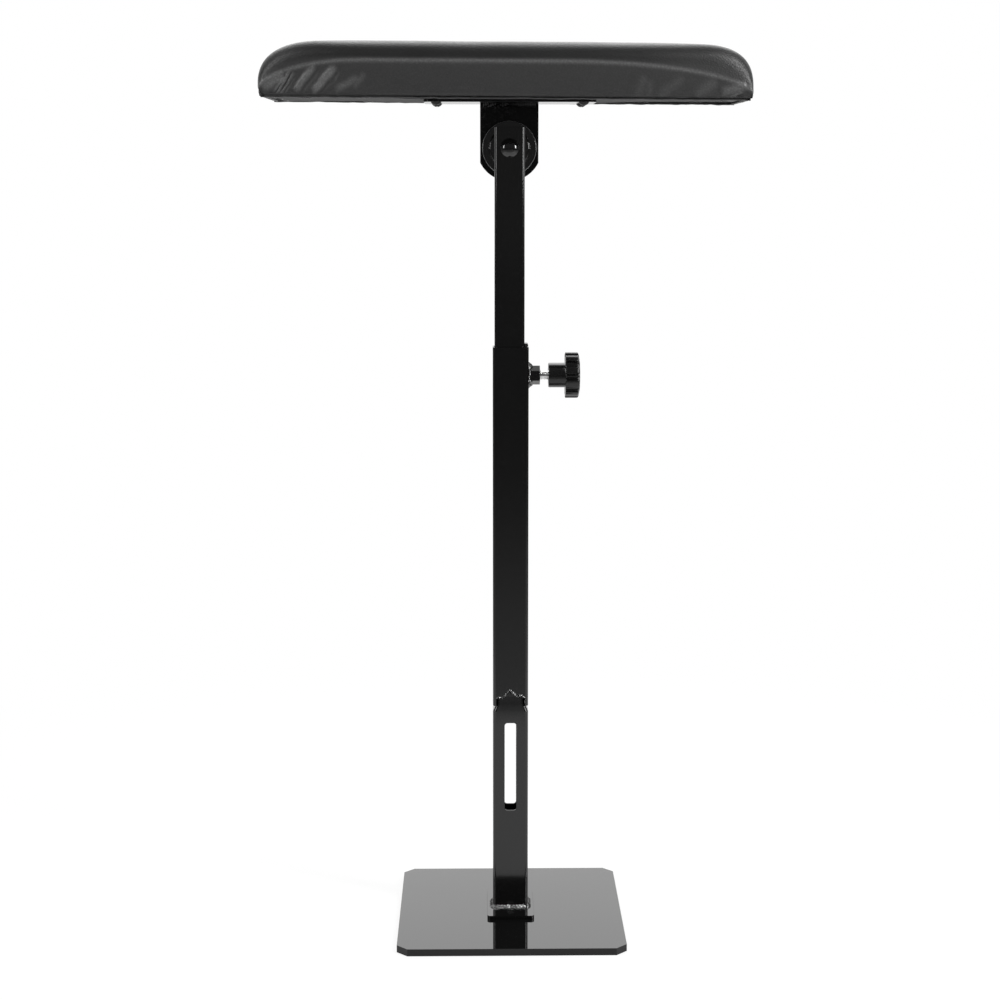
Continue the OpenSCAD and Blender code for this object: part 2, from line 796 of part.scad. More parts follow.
module underside_lining() {
  inner_half = pad_half - [margin_w + play, margin_w + waist + play];
  outer_half = pad_half - [lining_inset, lining_inset];
  color("#1b1b1e")
    difference() {
      translate([pad_x, 0, lining_z]) {
        linear_extrude(lining_t) rounded(2 * outer_half[0], 2 * outer_half[1], pad_corner / 2);
        linear_extrude(lining_t + cover_t)
          rounded(2 * inner_half[0], 2 * inner_half[1], pad_corner);
      }
      screw_places() translate([0, 0, lining_z - over])
        cylinder(h = lining_t + cover_t + 2 * over, d = screw_d + 2 * run_gap);
      staple_legs(thread_gap, thread_gap);
    }
}

module staple_places() {
  x = pad_half[0] - staple_inset;
  y = pad_half[1] - staple_inset;
  span_x = 2 * (x - pad_corner);
  span_y = 2 * (y - pad_corner);
  translate([pad_x, 0, lining_z]) {
    for (side = [-1, 1], k = [0 : staples_long - 1])
      translate([span_x * (k / (staples_long - 1) - 1 / 2), side * y, 0]) children();
    for (side = [-1, 1], k = [0 : staples_short - 1])
      translate([side * x, span_y * (k / (staples_short - 1) - 1 / 2), 0])
        rotate(90) children();
  }
}

module staple_legs(gap, tip) {
  leg_h = lining_t + cover_t + staple_bite;
  staple_places() for (end = [-1, 1])
    translate([end * (staple_l - staple_t) / 2 - staple_t / 2 - gap, -staple_t / 2 - gap,
      -staple_t / 2])
      cube([staple_t + 2 * gap, staple_t + 2 * gap, leg_h + staple_t / 2 + tip]);
}

module staples() {
  color("#a8abb0") {
    staple_places() translate([-staple_l / 2, -staple_t / 2, -staple_t])
      cube([staple_l, staple_t, staple_t]);
    staple_legs(0, 0);
  }
}

base_plate();
foot_flange();
flange_screws();
foot_weld();
lower_post();
post_weld();
outer_tube();
weld_nut();
nut_weld();
pressure_shim();
clamp_stud();
star_knob();
mast_tube();
glide_plug();
spacer_bush();
hinge_front_disc();
hinge_rivet();
hinge_washer();
pawl_pin();
pawl_spring();
hinge_pawl();
hinge_toothed_disc();
tab_bracket();
bracket_weld();
mount_plate();
mount_screws();
pad_board();
foam_core();
pad_cover();
underside_lining();
staples();
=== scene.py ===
# %% [markdown]
# # A padded arm rest stand
# The CAD model is loaded first and stays fixed: it says where every piece is, in metres. This
# script then dresses it. Steel gets rounded edges and paint, welds get ripples, the pad gets a
# stuffed cover with wrinkles, and a camera and a plain studio are put round it.

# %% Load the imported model
import math

import bmesh
import bpy
from mathutils import Matrix, Vector, noise


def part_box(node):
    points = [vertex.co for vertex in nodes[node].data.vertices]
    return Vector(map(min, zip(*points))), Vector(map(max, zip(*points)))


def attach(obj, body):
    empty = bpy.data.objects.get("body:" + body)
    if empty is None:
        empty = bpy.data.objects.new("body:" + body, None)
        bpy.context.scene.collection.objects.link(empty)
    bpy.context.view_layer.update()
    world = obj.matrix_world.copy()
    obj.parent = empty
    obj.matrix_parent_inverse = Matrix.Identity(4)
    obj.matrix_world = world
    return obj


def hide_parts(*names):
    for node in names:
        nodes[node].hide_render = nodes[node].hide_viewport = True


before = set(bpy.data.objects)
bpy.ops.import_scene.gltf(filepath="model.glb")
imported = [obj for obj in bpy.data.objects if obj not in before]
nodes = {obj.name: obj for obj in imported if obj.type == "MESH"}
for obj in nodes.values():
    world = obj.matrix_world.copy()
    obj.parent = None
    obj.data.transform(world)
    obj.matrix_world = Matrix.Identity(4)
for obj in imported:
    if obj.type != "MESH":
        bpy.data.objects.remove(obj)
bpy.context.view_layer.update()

# %% [markdown]
# ## Millimetres
# The real stand is drawn in millimetres and Blender works in metres here, so every size below is
# written in millimetres times one small factor. A centre and a size of each CAD node is all that
# is needed to put a new piece in the old one's place.

# %% Sizes from the frame
MM = 0.001


def middle(node):
    low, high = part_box(node)
    return (Vector(low) + Vector(high)) / 2


def span(node):
    low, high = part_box(node)
    return Vector(high) - Vector(low)


hinge_axis = middle("hinge_rivet")
clamp_axis = middle("clamp_stud")
print("hinge axis", hinge_axis, "clamp axis", clamp_axis)

# %% [markdown]
# ## The camera
# The photograph looks at the stand almost square from the front, from just below the pad, with a
# long lens. The eye and the turn were found by matching the plate, the tubes and the pad. The
# small shift keeps the same crop, and depth of field stays off.

# %% Camera
EYE = Vector((-26.5, -1648.4, 637.4)) * MM
TURN_RIGHT = 0.0168
LOOK_DOWN = 0.1343
ROLL = 0.0008

ahead = Vector((math.sin(TURN_RIGHT) * math.cos(LOOK_DOWN),
                math.cos(TURN_RIGHT) * math.cos(LOOK_DOWN), -math.sin(LOOK_DOWN)))
level_right = Vector((math.cos(TURN_RIGHT), -math.sin(TURN_RIGHT), 0))
level_up = level_right.cross(ahead)
right = level_right * math.cos(ROLL) + level_up * math.sin(ROLL)
up = level_up * math.cos(ROLL) - level_right * math.sin(ROLL)

camera = bpy.data.objects.new("camera", bpy.data.cameras.new("camera"))
camera.data.sensor_width = 36
camera.data.lens = 71.23
camera.data.shift_x = -0.012
camera.data.shift_y = -0.06
camera.data.clip_end = 100
camera.matrix_world = Matrix.Translation(EYE) @ Matrix((right, up, -ahead)).transposed().to_4x4()
bpy.context.scene.collection.objects.link(camera)
bpy.context.scene.camera = camera
bpy.context.scene.view_settings.view_transform = "Standard"
print("camera at", EYE)

# %% [markdown]
# ## Shader maths as plain sums
# A finish such as worn paint is a sum of noises and masks. Drawn by hand that is a web of Math
# nodes. Here one small class wraps a node's output, so that an ordinary Python expression adds
# those nodes by itself, and one method makes every other node.


# %% A socket that takes part in sums
class Wire:
    """The output of a shader node. A sum, product or power on it adds a Math node."""

    def __init__(self, finish, socket):
        self.finish = finish
        self.socket = socket

    def maths(self, operation, first, second):
        return self.finish.node("ShaderNodeMath", {"operation": operation}, {0: first, 1: second})

    def __add__(self, other):
        return self.maths("ADD", self, other)

    __radd__ = __add__

    def __sub__(self, other):
        return self.maths("SUBTRACT", self, other)

    def __rsub__(self, other):
        return self.maths("SUBTRACT", other, self)

    def __mul__(self, other):
        return self.maths("MULTIPLY", self, other)

    __rmul__ = __mul__

    def __pow__(self, other):
        return self.maths("POWER", self, other)


class Finish:
    """A material or a world, built node by node."""

    def __init__(self, name, data=None):
        self.data = data or bpy.data.materials.new(name)
        self.data.use_nodes = True
        self.tree = self.data.node_tree
        self.shader = self.tree.nodes.get("Principled BSDF")

    def node(self, kind, settings, inputs, output=0):
        """Any node: its settings come first, then the values or links of its sockets."""
        made = self.tree.nodes.new(kind)
        for name, value in settings.items():
            setattr(made, name, value)
        for name, value in inputs.items():
            self.feed(made.inputs[name], value)
        return Wire(self, made.outputs[output])

    def feed(self, socket, value):
        if isinstance(value, Wire):
            self.tree.links.new(value.socket, socket)
        else:
            socket.default_value = value

    def shade(self, **inputs):
        """Feeds the main shader. A plain number is set on the socket itself."""
        for name, value in inputs.items():
            self.feed(self.shader.inputs[name.replace("_", " ")], value)

    def place(self, stretch=(1, 1, 1)):
        """A point on the piece in metres, stretched per axis."""
        at = self.node("ShaderNodeTexCoord", {}, {}, "Object")
        return self.node("ShaderNodeMapping", {}, {"Vector": at, "Scale": stretch})

    def cloud(self, per_metre, detail=3, stretch=(1, 1, 1)):
        """Soft noise from 0 to 1."""
        return self.node("ShaderNodeTexNoise", {}, {"Vector": self.place(stretch),
                         "Scale": per_metre, "Detail": detail}, "Fac")

    def cells(self, per_metre):
        """Distance inside a net of irregular cells."""
        return self.node("ShaderNodeTexVoronoi", {"feature": "F1"},
                         {"Vector": self.place(), "Scale": per_metre}, "Distance")

    def limit(self, value, low, high, to_low=0, to_high=1):
        """Maps low..high to to_low..to_high, and holds it there."""
        return self.node("ShaderNodeMapRange", {"interpolation_type": "SMOOTHSTEP"},
                         {"Value": value, "From Min": low, "From Max": high,
                          "To Min": to_low, "To Max": to_high})

    def ray(self, kind):
        """1 for rays of that kind, and 0 for all others."""
        return self.node("ShaderNodeLightPath", {}, {}, f"Is {kind} Ray")

    def mix(self, share, first, second):
        """A colour between two colours."""
        return self.node("ShaderNodeMix", {"data_type": "RGBA"}, {0: share, 6: first, 7: second}, 2)

    def bump(self, height, deep_mm):
        return self.node("ShaderNodeBump", {}, {"Height": height, "Distance": deep_mm * MM})


def grey(value):
    return (value, value, value, 1)


# %% [markdown]
# ## Black paint
# Every steel piece is black, but not equally: the base plate is polished like a mirror and its cut
# edge is rougher, the tubes are a little wavy, the tab is satin, and the hinge disc is painted grey
# at its rim, as wear and as a painted highlight. The paint is almost black by itself, so what the
# eye reads is reflection. One recipe makes them all: a slow noise for the orange peel, a fast one
# for dust, and paler paint where the surface is sharply convex.


# %% Paint recipe
DUST_PER_METRE = 1100
FILM_PER_METRE = 16
CHIPS_PER_METRE = 260
WORN_SHARE = 0.3
WORN_GREY = 0.06


def black_paint(name, base, roughness, peel_mm, peel_size, shine=0.5, coat=0.0):
    """peel_mm is how deep the orange peel is, and peel_size how wide, in millimetres too."""
    paint = Finish(name)
    dust = paint.limit(paint.cloud(DUST_PER_METRE, 4), 0.66, 0.85)
    film = paint.cloud(FILM_PER_METRE, 2)
    edge = paint.node("ShaderNodeNewGeometry", {}, {}, "Pointiness")
    chips = paint.limit(paint.cloud(CHIPS_PER_METRE, 3), 0.5, 0.75)
    wear_and_painted_highlight = paint.limit(edge, 0.54, 0.66) * chips * WORN_SHARE
    ground = paint.mix(dust * 0.3 + film * 0.1, grey(base), grey(base * 1.8 + 0.003))
    paint.shade(
        Base_Color=paint.mix(wear_and_painted_highlight, ground, grey(WORN_GREY)),
        Roughness=roughness + dust * 0.05 + (film - 0.5) * roughness * 0.2 + wear_and_painted_highlight * 0.2,
        Normal=paint.bump(paint.cloud(1000 / peel_size, 1), peel_mm),
        Specular_IOR_Level=shine, Coat_Weight=coat, Coat_Roughness=0.015)
    return paint.data


plate_paint = black_paint("plate_gloss_black", 0.003, 0.03, 0.0015, 12, coat=1.0)
edge_paint = black_paint("plate_edge_black", 0.003, 0.12, 0.006, 6, shine=0.3)
tube_paint = black_paint("tube_gloss_black", 0.0022, 0.1, 0.006, 11)
tab_paint = black_paint("tab_satin_black", 0.0015, 0.24, 0.006, 5, shine=0.2)
hinge_paint = black_paint("hinge_black", 0.002, 0.055, 0.004, 6, shine=0.5, coat=0.3)
# The hinge disc's rim is painted grey: partly wear, partly a painted highlight along its rolled edge.
rim_wear_and_highlight_paint = black_paint("hinge_rim_wear_and_painted_highlight", 0.1, 0.2, 0.01, 3, shine=0.8)
weld_paint = black_paint("weld_black", 0.0015, 0.1, 0.02, 2.5, shine=0.9, coat=0.5)
shim_steel = black_paint("shim_black", 0.008, 0.3, 0.01, 2)
print("paints", [m.name for m in bpy.data.materials])

# %% [markdown]
# ## Bare steel, plastic, wood, foam and cloth
# The stud is zinc plated and bright, and the screws under the pad are blackened. The knob is
# moulded plastic with a fine spark texture. The pieces inside the hinge and the pad are hidden,
# but they still get an honest finish, because the stand can be opened up in other views.


# %% Metal recipe
def bare_steel(name, shade, roughness, streak):
    steel = Finish(name)
    lines = steel.cloud(1500, 2, streak)
    stain = steel.limit(steel.cloud(90, 4), 0.5, 0.75)
    tarnish = (shade * 0.8, shade * 0.78, shade * 0.74, 1)
    steel.shade(Base_Color=steel.mix(stain * 0.35, grey(shade), tarnish),
                Roughness=roughness + lines * 0.12 + stain * 0.1,
                Normal=steel.bump(lines, 0.004), Metallic=1)
    return steel.data


zinc = bare_steel("zinc_steel", 0.86, 0.1, (0.06, 1, 1))
spring_wire = bare_steel("spring_steel", 0.5, 0.24, (1, 0.1, 1))
black_oxide = bare_steel("black_oxide_steel", 0.03, 0.34, (1, 1, 1))


# %% Moulded plastics
def moulded(name, base, roughness, spark_mm, shine=0.5):
    plastic = Finish(name)
    spark = plastic.cloud(2600, 3)
    flow = plastic.cloud(40, 2)
    plastic.shade(Base_Color=plastic.mix(flow, grey(base * 0.8), grey(base * 1.3)),
                  Roughness=roughness + (spark - 0.5) * 0.12,
                  Normal=plastic.bump(spark, spark_mm), Specular_IOR_Level=shine)
    return plastic.data


knob_plastic = moulded("knob_plastic", 0.003, 0.2, 0.006, shine=0.42)
glide_plastic = moulded("glide_plastic", 0.03, 0.45, 0.01)


# %% Plywood, foam and the lining cloth
def plywood():
    wood = Finish("plywood")
    fibre = wood.cloud(260, 5, (0.08, 1, 3))
    pore = wood.limit(wood.cloud(1400, 3, (0.05, 1, 1)), 0.58, 0.72)
    layer = wood.node("ShaderNodeTexWave", {"bands_direction": "Z"},
                      {"Vector": wood.place(), "Scale": 90, "Distortion": 0.4}, "Fac")
    plank = wood.mix(fibre, (0.42, 0.27, 0.13, 1), (0.62, 0.45, 0.26, 1))
    wood.shade(Base_Color=wood.mix(pore * 0.6 + layer * 0.25, plank, (0.25, 0.14, 0.06, 1)),
               Roughness=0.55 + fibre * 0.2, Normal=wood.bump(fibre + pore, 0.12))
    return wood.data


def open_foam():
    foam = Finish("foam")
    bubble = foam.cells(700)
    foam.shade(Base_Color=foam.mix(bubble, (0.55, 0.47, 0.28, 1), (0.8, 0.74, 0.53, 1)),
               Roughness=0.85 + bubble * 0.1, Normal=foam.bump(bubble, 0.6))
    return foam.data


def lining_cloth():
    cloth = Finish("lining_fabric")
    warp, weft = [cloth.node("ShaderNodeTexWave", {"bands_direction": way},
                             {"Vector": cloth.place(), "Scale": 420, "Distortion": 0.6}, "Fac")
                  for way in "XY"]
    weave = warp * 0.5 + weft * 0.5
    cloth.shade(Base_Color=cloth.mix(weave, grey(0.008), grey(0.035)),
                Roughness=0.6 + weave * 0.2, Normal=cloth.bump(weave, 0.08))
    return cloth.data


pad_plywood = plywood()
pad_foam = open_foam()
pad_lining = lining_cloth()

# %% [markdown]
# ## Leatherette
# Upholstery vinyl is embossed with a pebble grain of about a millimetre and a half, with finer
# pores on the pebbles. It is a black film with a satin shine. Two cell patterns make the pebbles
# and the pores, and a slow noise lets the shine vary. The top is painted darker than the sides,
# as painted shade, and the way the surface faces tells the two apart. Ridges get a painted
# highlight: an attribute, which the folds write further down, says where.


# %% Leatherette
def leatherette():
    hide = Finish("black_leatherette")
    pebble = hide.limit(hide.cells(680), 0.05, 0.75)
    pore = hide.limit(hide.cells(2100), 0.1, 0.6)
    pull = hide.cloud(30, 3)
    grain = (1 - pebble) * 0.8 + (1 - pore) * 0.2
    facing = hide.node("ShaderNodeTexCoord", {}, {}, "Normal")
    lie = hide.node("ShaderNodeSeparateXYZ", {}, {"Vector": facing}, "Z")
    # How much the surface faces up, for the painted shade on the top.
    painted_shade_on_top = hide.limit(lie, 0.06, 0.35)
    wear_and_painted_highlight = hide.node("ShaderNodeAttribute", {"attribute_name": "wear_and_painted_highlight"}, {}, "Fac")
    blotch = grain * 0.5 + pull * 0.5
    # One vinyl in two greys: the top is painted darker than the sides as painted shade.
    side = hide.mix(blotch, grey(0.02), grey(0.031))
    top = hide.mix(blotch, grey(0.003), grey(0.006))
    plain = hide.mix(painted_shade_on_top * (1 - wear_and_painted_highlight), side, top)
    # Where the folds and the crease stand out, a paler grey is a painted highlight.
    hide.shade(Base_Color=hide.mix(wear_and_painted_highlight * (0.5 + grain * 0.4), plain, grey(0.12)),
               Roughness=0.46 - grain * 0.08 - (pull - 0.5) * 0.1 - wear_and_painted_highlight * 0.06,
               Normal=hide.bump(grain, 0.09), Specular_IOR_Level=0.4)
    return hide.data


pad_leather = leatherette()
print("finishes", len(bpy.data.materials))

# %% [markdown]
# ## A piece from a mesh
# Every new piece ends the same way: it is linked, smoothed up to an edge angle, painted and set on
# the body that carries it, and the CAD node it stands for is hidden. One helper does that, so no
# piece can be forgotten. The weighted normals keep the flat faces flat beside rounded edges.
# Most shapes are rows of rings, so making a mesh of them is a helper as well.


# %% Small mesh helpers
def placed(name, bm):
    """A linked object with the mesh, which is freed."""
    mesh = bpy.data.meshes.new(name)
    bm.to_mesh(mesh)
    bm.free()
    made = bpy.data.objects.new(name, mesh)
    bpy.context.scene.collection.objects.link(made)
    return made


def band(bm, first, second):
    """Faces between two rings of points. A ring of one point makes a tip."""
    for k in range(max(len(first), len(second))):
        corners = [first[k % len(first)], first[(k + 1) % len(first)],
                   second[(k + 1) % len(second)], second[k % len(second)]]
        corners = list(dict.fromkeys(corners))
        if len(corners) > 2:
            bm.faces.new(corners)


def lofted(rings, closed=True, capped=False):
    """A mesh of bands from each ring of points to the next, turned to face outward."""
    bm = bmesh.new()
    made = [[bm.verts.new(spot) for spot in ring] for ring in rings]
    for first, second in zip(made, made[1:] + made[:1] if closed else made[1:]):
        band(bm, first, second)
    if capped:
        bm.faces.new(made[0])
        bm.faces.new(list(reversed(made[-1])))
    bmesh.ops.recalc_face_normals(bm, faces=bm.faces)
    return bm


def joined(parts):
    """One mesh out of several, which are freed."""
    whole = bmesh.new()
    for part in parts:
        mesh = bpy.data.meshes.new("part")
        part.to_mesh(mesh)
        part.free()
        whole.from_mesh(mesh)
        bpy.data.meshes.remove(mesh)
    return whole


# %% Finish off a piece
def piece(name, bm, paint, slot, body, *stands_for, sharp_deg=40, flat=True):
    bm.normal_update()
    made = placed(name, bm)
    mesh = made.data
    mesh.shade_smooth()
    mesh.set_sharp_from_angle(angle=math.radians(sharp_deg))
    for one in paint if isinstance(paint, list) else [paint]:
        mesh.materials.append(one)
    if flat:
        even = made.modifiers.new("even", "WEIGHTED_NORMAL")
        even.weight = 100
        even.keep_sharp = True
    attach(made, body)
    if stands_for:
        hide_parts(*stands_for)
    print(name, len(mesh.vertices), "points on", body)
    return made


# %% [markdown]
# ## Rounded steel
# Sheet and tube never have knife edges: cutting and paint leave a radius of a few tenths of a
# millimetre, and that radius is what catches the light. The CAD solid has the right shape, so a
# copy of its mesh is taken, flat facets are merged, and a bevel is cut along every sharp edge.


# %% Bevel the edges of a CAD shape
SAME_POINT = 0.002 * MM
SAME_PLANE_DEG = 0.4


def eased(node, radius_mm, segments, corner_deg=28):
    bm = bmesh.new()
    bm.from_mesh(nodes[node].data)
    bmesh.ops.remove_doubles(bm, verts=bm.verts, dist=SAME_POINT)
    bmesh.ops.dissolve_limit(bm, angle_limit=math.radians(SAME_PLANE_DEG), verts=bm.verts,
                             edges=bm.edges)
    sharp = [e for e in bm.edges
             if len(e.link_faces) == 2 and e.calc_face_angle(0) > math.radians(corner_deg)]
    bmesh.ops.bevel(bm, geom=sharp, offset=radius_mm * MM, offset_type="OFFSET",
                    segments=segments, profile=0.5, affect="EDGES", clamp_overlap=True)
    return bm


def mirror_top(bm):
    """Faces that look up get the first paint, all others the second."""
    bm.normal_update()
    for face in bm.faces:
        face.material_index = 0 if face.normal.z > 0.95 else 1


# %% Plates, tubes, shim, tab and toothed disc
# New name, CAD node, radius in millimetres and segments of its edges, paint, slot and body. The
# base plate and the foot flange have mirror tops.
MIRROR = [plate_paint, edge_paint]
ROUNDED = [
    ("base_plate_polished", "base_plate", 0.8, 4, MIRROR, "plate_gloss_black", "stand"),
    ("foot_flange_painted", "foot_flange", 0.2, 2, MIRROR, "plate_gloss_black", "stand"),
    ("lower_post_painted", "lower_post", 0.25, 2, tube_paint, "tube_gloss_black", "stand"),
    ("outer_tube_painted", "outer_tube", 0.3, 2, tube_paint, "tube_gloss_black", "stand"),
    ("mast_tube_painted", "mast_tube", 0.3, 2, tube_paint, "tube_gloss_black", "mast"),
    ("pressure_shim_rolled", "pressure_shim", 0.25, 2, shim_steel, "shim_black", "clamp_shim"),
    ("tab_painted", "tab_bracket", 0.5, 3, tab_paint, "plate_gloss_black", "pad"),
    ("mount_plate_painted", "mount_plate", 0.5, 3, edge_paint, "plate_gloss_black", "pad"),
    ("toothed_disc_painted", "hinge_toothed_disc", 0.3, 3, hinge_paint, "hinge_black", "pad")]
for name, node, radius_mm, segments, paint, slot, body in ROUNDED:
    solid = eased(node, radius_mm, segments)
    if paint is MIRROR:
        mirror_top(solid)
    piece(name, solid, paint, slot, body, node)

# %% [markdown]
# ## Turned pieces
# The rivet and the hinge's front disc are round, so each is one profile spun about its own axis.
# The profile lists radius and depth, with the rounded edges drawn in as short arcs.


# %% Spin a profile
def spun(profile, centre, axis, steps=96):
    """profile is a closed list of (radius, depth along the axis) in metres."""
    out = Vector(axis).normalized()
    side = out.orthogonal().normalized()
    turns = [Matrix.Rotation(2 * math.pi * k / steps, 3, out) for k in range(steps)]
    return lofted([[centre + out * depth + turn @ side * radius
                    for turn in (turns if radius > 0 else turns[:1])]
                   for radius, depth in profile])


def arc(centre, radius, start_deg, end_deg, steps):
    """Points of a rounded edge in the profile's plane."""
    turns = [math.radians(start_deg + (end_deg - start_deg) * k / steps) for k in range(steps + 1)]
    return [(centre[0] + radius * math.cos(t), centre[1] + radius * math.sin(t)) for t in turns]


def domed(edge_radius, height, lip, steps=9):
    """A shallow dome that ends in a short upright lip, from rim to pole."""
    ball = (edge_radius ** 2 + height ** 2) / (2 * height)
    widest = math.asin(min(1, edge_radius / ball))
    curve = [(ball * math.sin(widest * (1 - k / steps)),
              lip + ball * math.cos(widest * (1 - k / steps)) - ball + height)
             for k in range(steps + 1)]
    curve[-1] = (0, curve[-1][1])
    return curve


# %% Hinge rivet
rivet_low, rivet_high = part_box("hinge_rivet")
mast_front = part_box("mast_tube")[0][1]
washer_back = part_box("hinge_washer")[1][1]
pivot = Vector((hinge_axis.x, 0, hinge_axis.z))
shank_r = 4 * MM
head_r = 7.75 * MM
head_h = mast_front - rivet_low[1]
head_lip = 0.5 * MM
head_edge = 0.3 * MM
tail_r = 6.4 * MM
tail_h = rivet_high[1] - washer_back
tail_lip = 0.3 * MM
dome_in = 0.2 * MM
head = domed(head_r - dome_in, head_h - head_lip, -mast_front + head_lip)
rivet_profile = list(reversed(head))
rivet_profile += [(head_r, -mast_front + head_edge), (head_r, -mast_front), (shank_r, -mast_front),
                  (shank_r, -washer_back), (tail_r, -washer_back)]
tail = domed(tail_r - dome_in, tail_h - tail_lip, washer_back + tail_lip)
rivet_profile += [(r, -d) for r, d in tail]
piece("hinge_rivet_domed", spun(rivet_profile, pivot, (0, -1, 0)), hinge_paint, "hinge_black",
      "mast", "hinge_rivet", sharp_deg=50)

# %% Front disc, pressed from sheet
disc_low, disc_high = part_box("hinge_front_disc")
sheet = 1.5 * MM
boss_r = 17 * MM
disc_r = 22.5 * MM
front_y = disc_low[1]
back_y = disc_high[1]
hole_r = shank_r + 0.05 * MM
inner_bend = 0.5 * MM
outer_bend = 0.3 * MM
outer_bend_r = boss_r + 0.4 * MM
rim_round = 0.7 * MM
boss_round = 1.7 * MM
rim_wear_and_highlight_band = 0.55 * MM
inner_r = boss_r - sheet
disc_profile = [(hole_r, front_y), (hole_r, front_y + sheet), (inner_r - inner_bend, front_y + sheet)]
disc_profile += arc((inner_r - inner_bend, front_y + sheet + inner_bend), inner_bend, -90, 0, 3)
disc_profile += [(inner_r, back_y)]
disc_profile += arc((disc_r - rim_round, back_y - rim_round), rim_round, 90, -90, 8)
disc_profile += arc((outer_bend_r, back_y - sheet - outer_bend), outer_bend, 90, 180, 3)
disc_profile += arc((boss_r - boss_round, front_y + boss_round), boss_round, 0, -90, 7)
front_disc = spun(disc_profile, pivot, (0, 1, 0), 128)
# The outer band of the rim gets the grey paint, partly wear and partly a painted highlight.
for face in front_disc.faces:
    off = face.calc_center_median() - pivot
    face.material_index = 1 if math.hypot(off.x, off.z) > disc_r - rim_wear_and_highlight_band else 0
piece("front_disc_pressed", front_disc, [hinge_paint, rim_wear_and_highlight_paint], "hinge_black",
      "mast", "hinge_front_disc", sharp_deg=50)

# %% [markdown]
# ## The clamp
# The bright stretch of stud between nut and knob is one of the few shiny spots of the photo, so
# its thread is real: one surface whose radius follows a triangle wave that climbs one pitch each
# turn. The nut keeps its CAD hexagon with eased corners, and the knob is a fluted head.

# %% Threaded stud
THREAD_PITCH = 1.25 * MM
stud_low, stud_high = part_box("clamp_stud")
stud_r = 4 * MM
thread_depth = 0.62 * MM
LEAD_IN = 0.9 * MM


def threaded(start, end, radius, depth, pitch, around=40, per_pitch=8):
    count = int((end - start) / pitch * per_pitch)
    rings = []
    for row in range(count + 1):
        x = start + (end - start) * row / count
        taper = min(1, min(x - start, end - x) / LEAD_IN)
        ring = []
        for k in range(around):
            wave = abs(((x / pitch - k / around) % 1) * 2 - 1)
            crest = min(1, max(0, wave * 1.5 - 0.25))
            r = (radius - depth * (1 - crest)) * (0.86 + 0.14 * taper)
            turn = 2 * math.pi * k / around
            ring.append((x, r * math.cos(turn), clamp_axis.z + r * math.sin(turn)))
        rings.append(ring)
    return lofted(rings, closed=False, capped=True)


piece("clamp_stud_threaded", threaded(stud_low[0], stud_high[0], stud_r, thread_depth,
      THREAD_PITCH), zinc, "zinc_steel", "clamp_knob", "clamp_stud", sharp_deg=60, flat=False)

# %% Weld nut
piece("weld_nut_painted", eased("weld_nut", 0.9, 4, 40), hinge_paint, "hinge_black", "stand",
      "weld_nut")

# %% Star knob
knob_low, knob_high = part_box("star_knob")
hub_r = 10.3 * MM
hub_l = 14 * MM
head_x = knob_low[0] + hub_l
hollow_r = 16.2 * MM
hollow_at = 18.4 * MM
hollow_half = 2.6 * MM
lobe_out = 19.1 * MM
edge_dip = 0.25 * MM
edge_reach = 0.5 * MM
socket_deep = 6 * MM
socket_r = stud_r + 0.1 * MM
socket_mouth = 0.5 * MM
hub_round = 0.8 * MM
LOBES = 10


def fluted(turn):
    """Radius of the knob's head at an angle from straight up."""
    step = 2 * math.pi / LOBES
    aside = abs((turn % step) - step / 2) * hollow_at
    dip = max(0, 1 - (aside / hollow_half) ** 2.4) ** 0.7
    edge = math.exp(-max(0, aside - hollow_half) / edge_reach)
    return lobe_out - edge_dip * edge - (lobe_out - hollow_r) * dip


def knob_mesh(around=480):
    """Rows of radius and x: the hub, with the stud's socket, and the head, whose radii are shares
    of the fluted outline."""
    start_x = knob_low[0]
    face_x = knob_high[0]
    rows = [(0, start_x + socket_deep), (socket_r, start_x + socket_deep),
            (socket_r, start_x + socket_mouth), (socket_r + socket_mouth, start_x)]
    rows += [(hub_r - hub_round * (1 - math.sin(t)), start_x + hub_round * (1 - math.cos(t)))
             for t in [math.radians(a) for a in (0, 20, 40, 65, 90)]]
    rows += [(hub_r, head_x - 0.6 * MM), (hub_r + 0.3 * MM, head_x)]
    flutes = [(0.975, head_x), (0.99, head_x + 0.08 * MM), (0.998, head_x + 0.3 * MM),
              (1, head_x + 0.6 * MM), (1, face_x - 2.7 * MM), (0.99, face_x - 2.1 * MM),
              (0.965, face_x - 1.7 * MM), (0.92, face_x - 1.3 * MM), (0.7, face_x - 0.5 * MM),
              (0.35, face_x - 0.1 * MM)]
    rings = []
    for k, (a, x) in enumerate(rows + flutes + [(0, face_x)]):
        ring = []
        for j in range(around if a > 0 else 1):
            turn = 2 * math.pi * j / around
            r = a if k < len(rows) else a * fluted(turn)
            ring.append((x, r * math.sin(turn), clamp_axis.z + r * math.cos(turn)))
        rings.append(ring)
    return lofted(rings, closed=False)


piece("star_knob_moulded", knob_mesh(), knob_plastic, "knob_plastic", "clamp_knob", "star_knob",
      sharp_deg=45, flat=False)

# %% [markdown]
# ## Weld beads
# A bead is a row of frozen ripples in the corner between two pieces. The mesh is a quarter-round
# swept along the joint, whose size swells and sinks with each ripple and with a little noise, so
# that no two ripples are alike.


# %% Sweep a bead along a joint
BEAD_SUNK = 0.3 * MM
LUMP_SIZE = 3.1 * MM


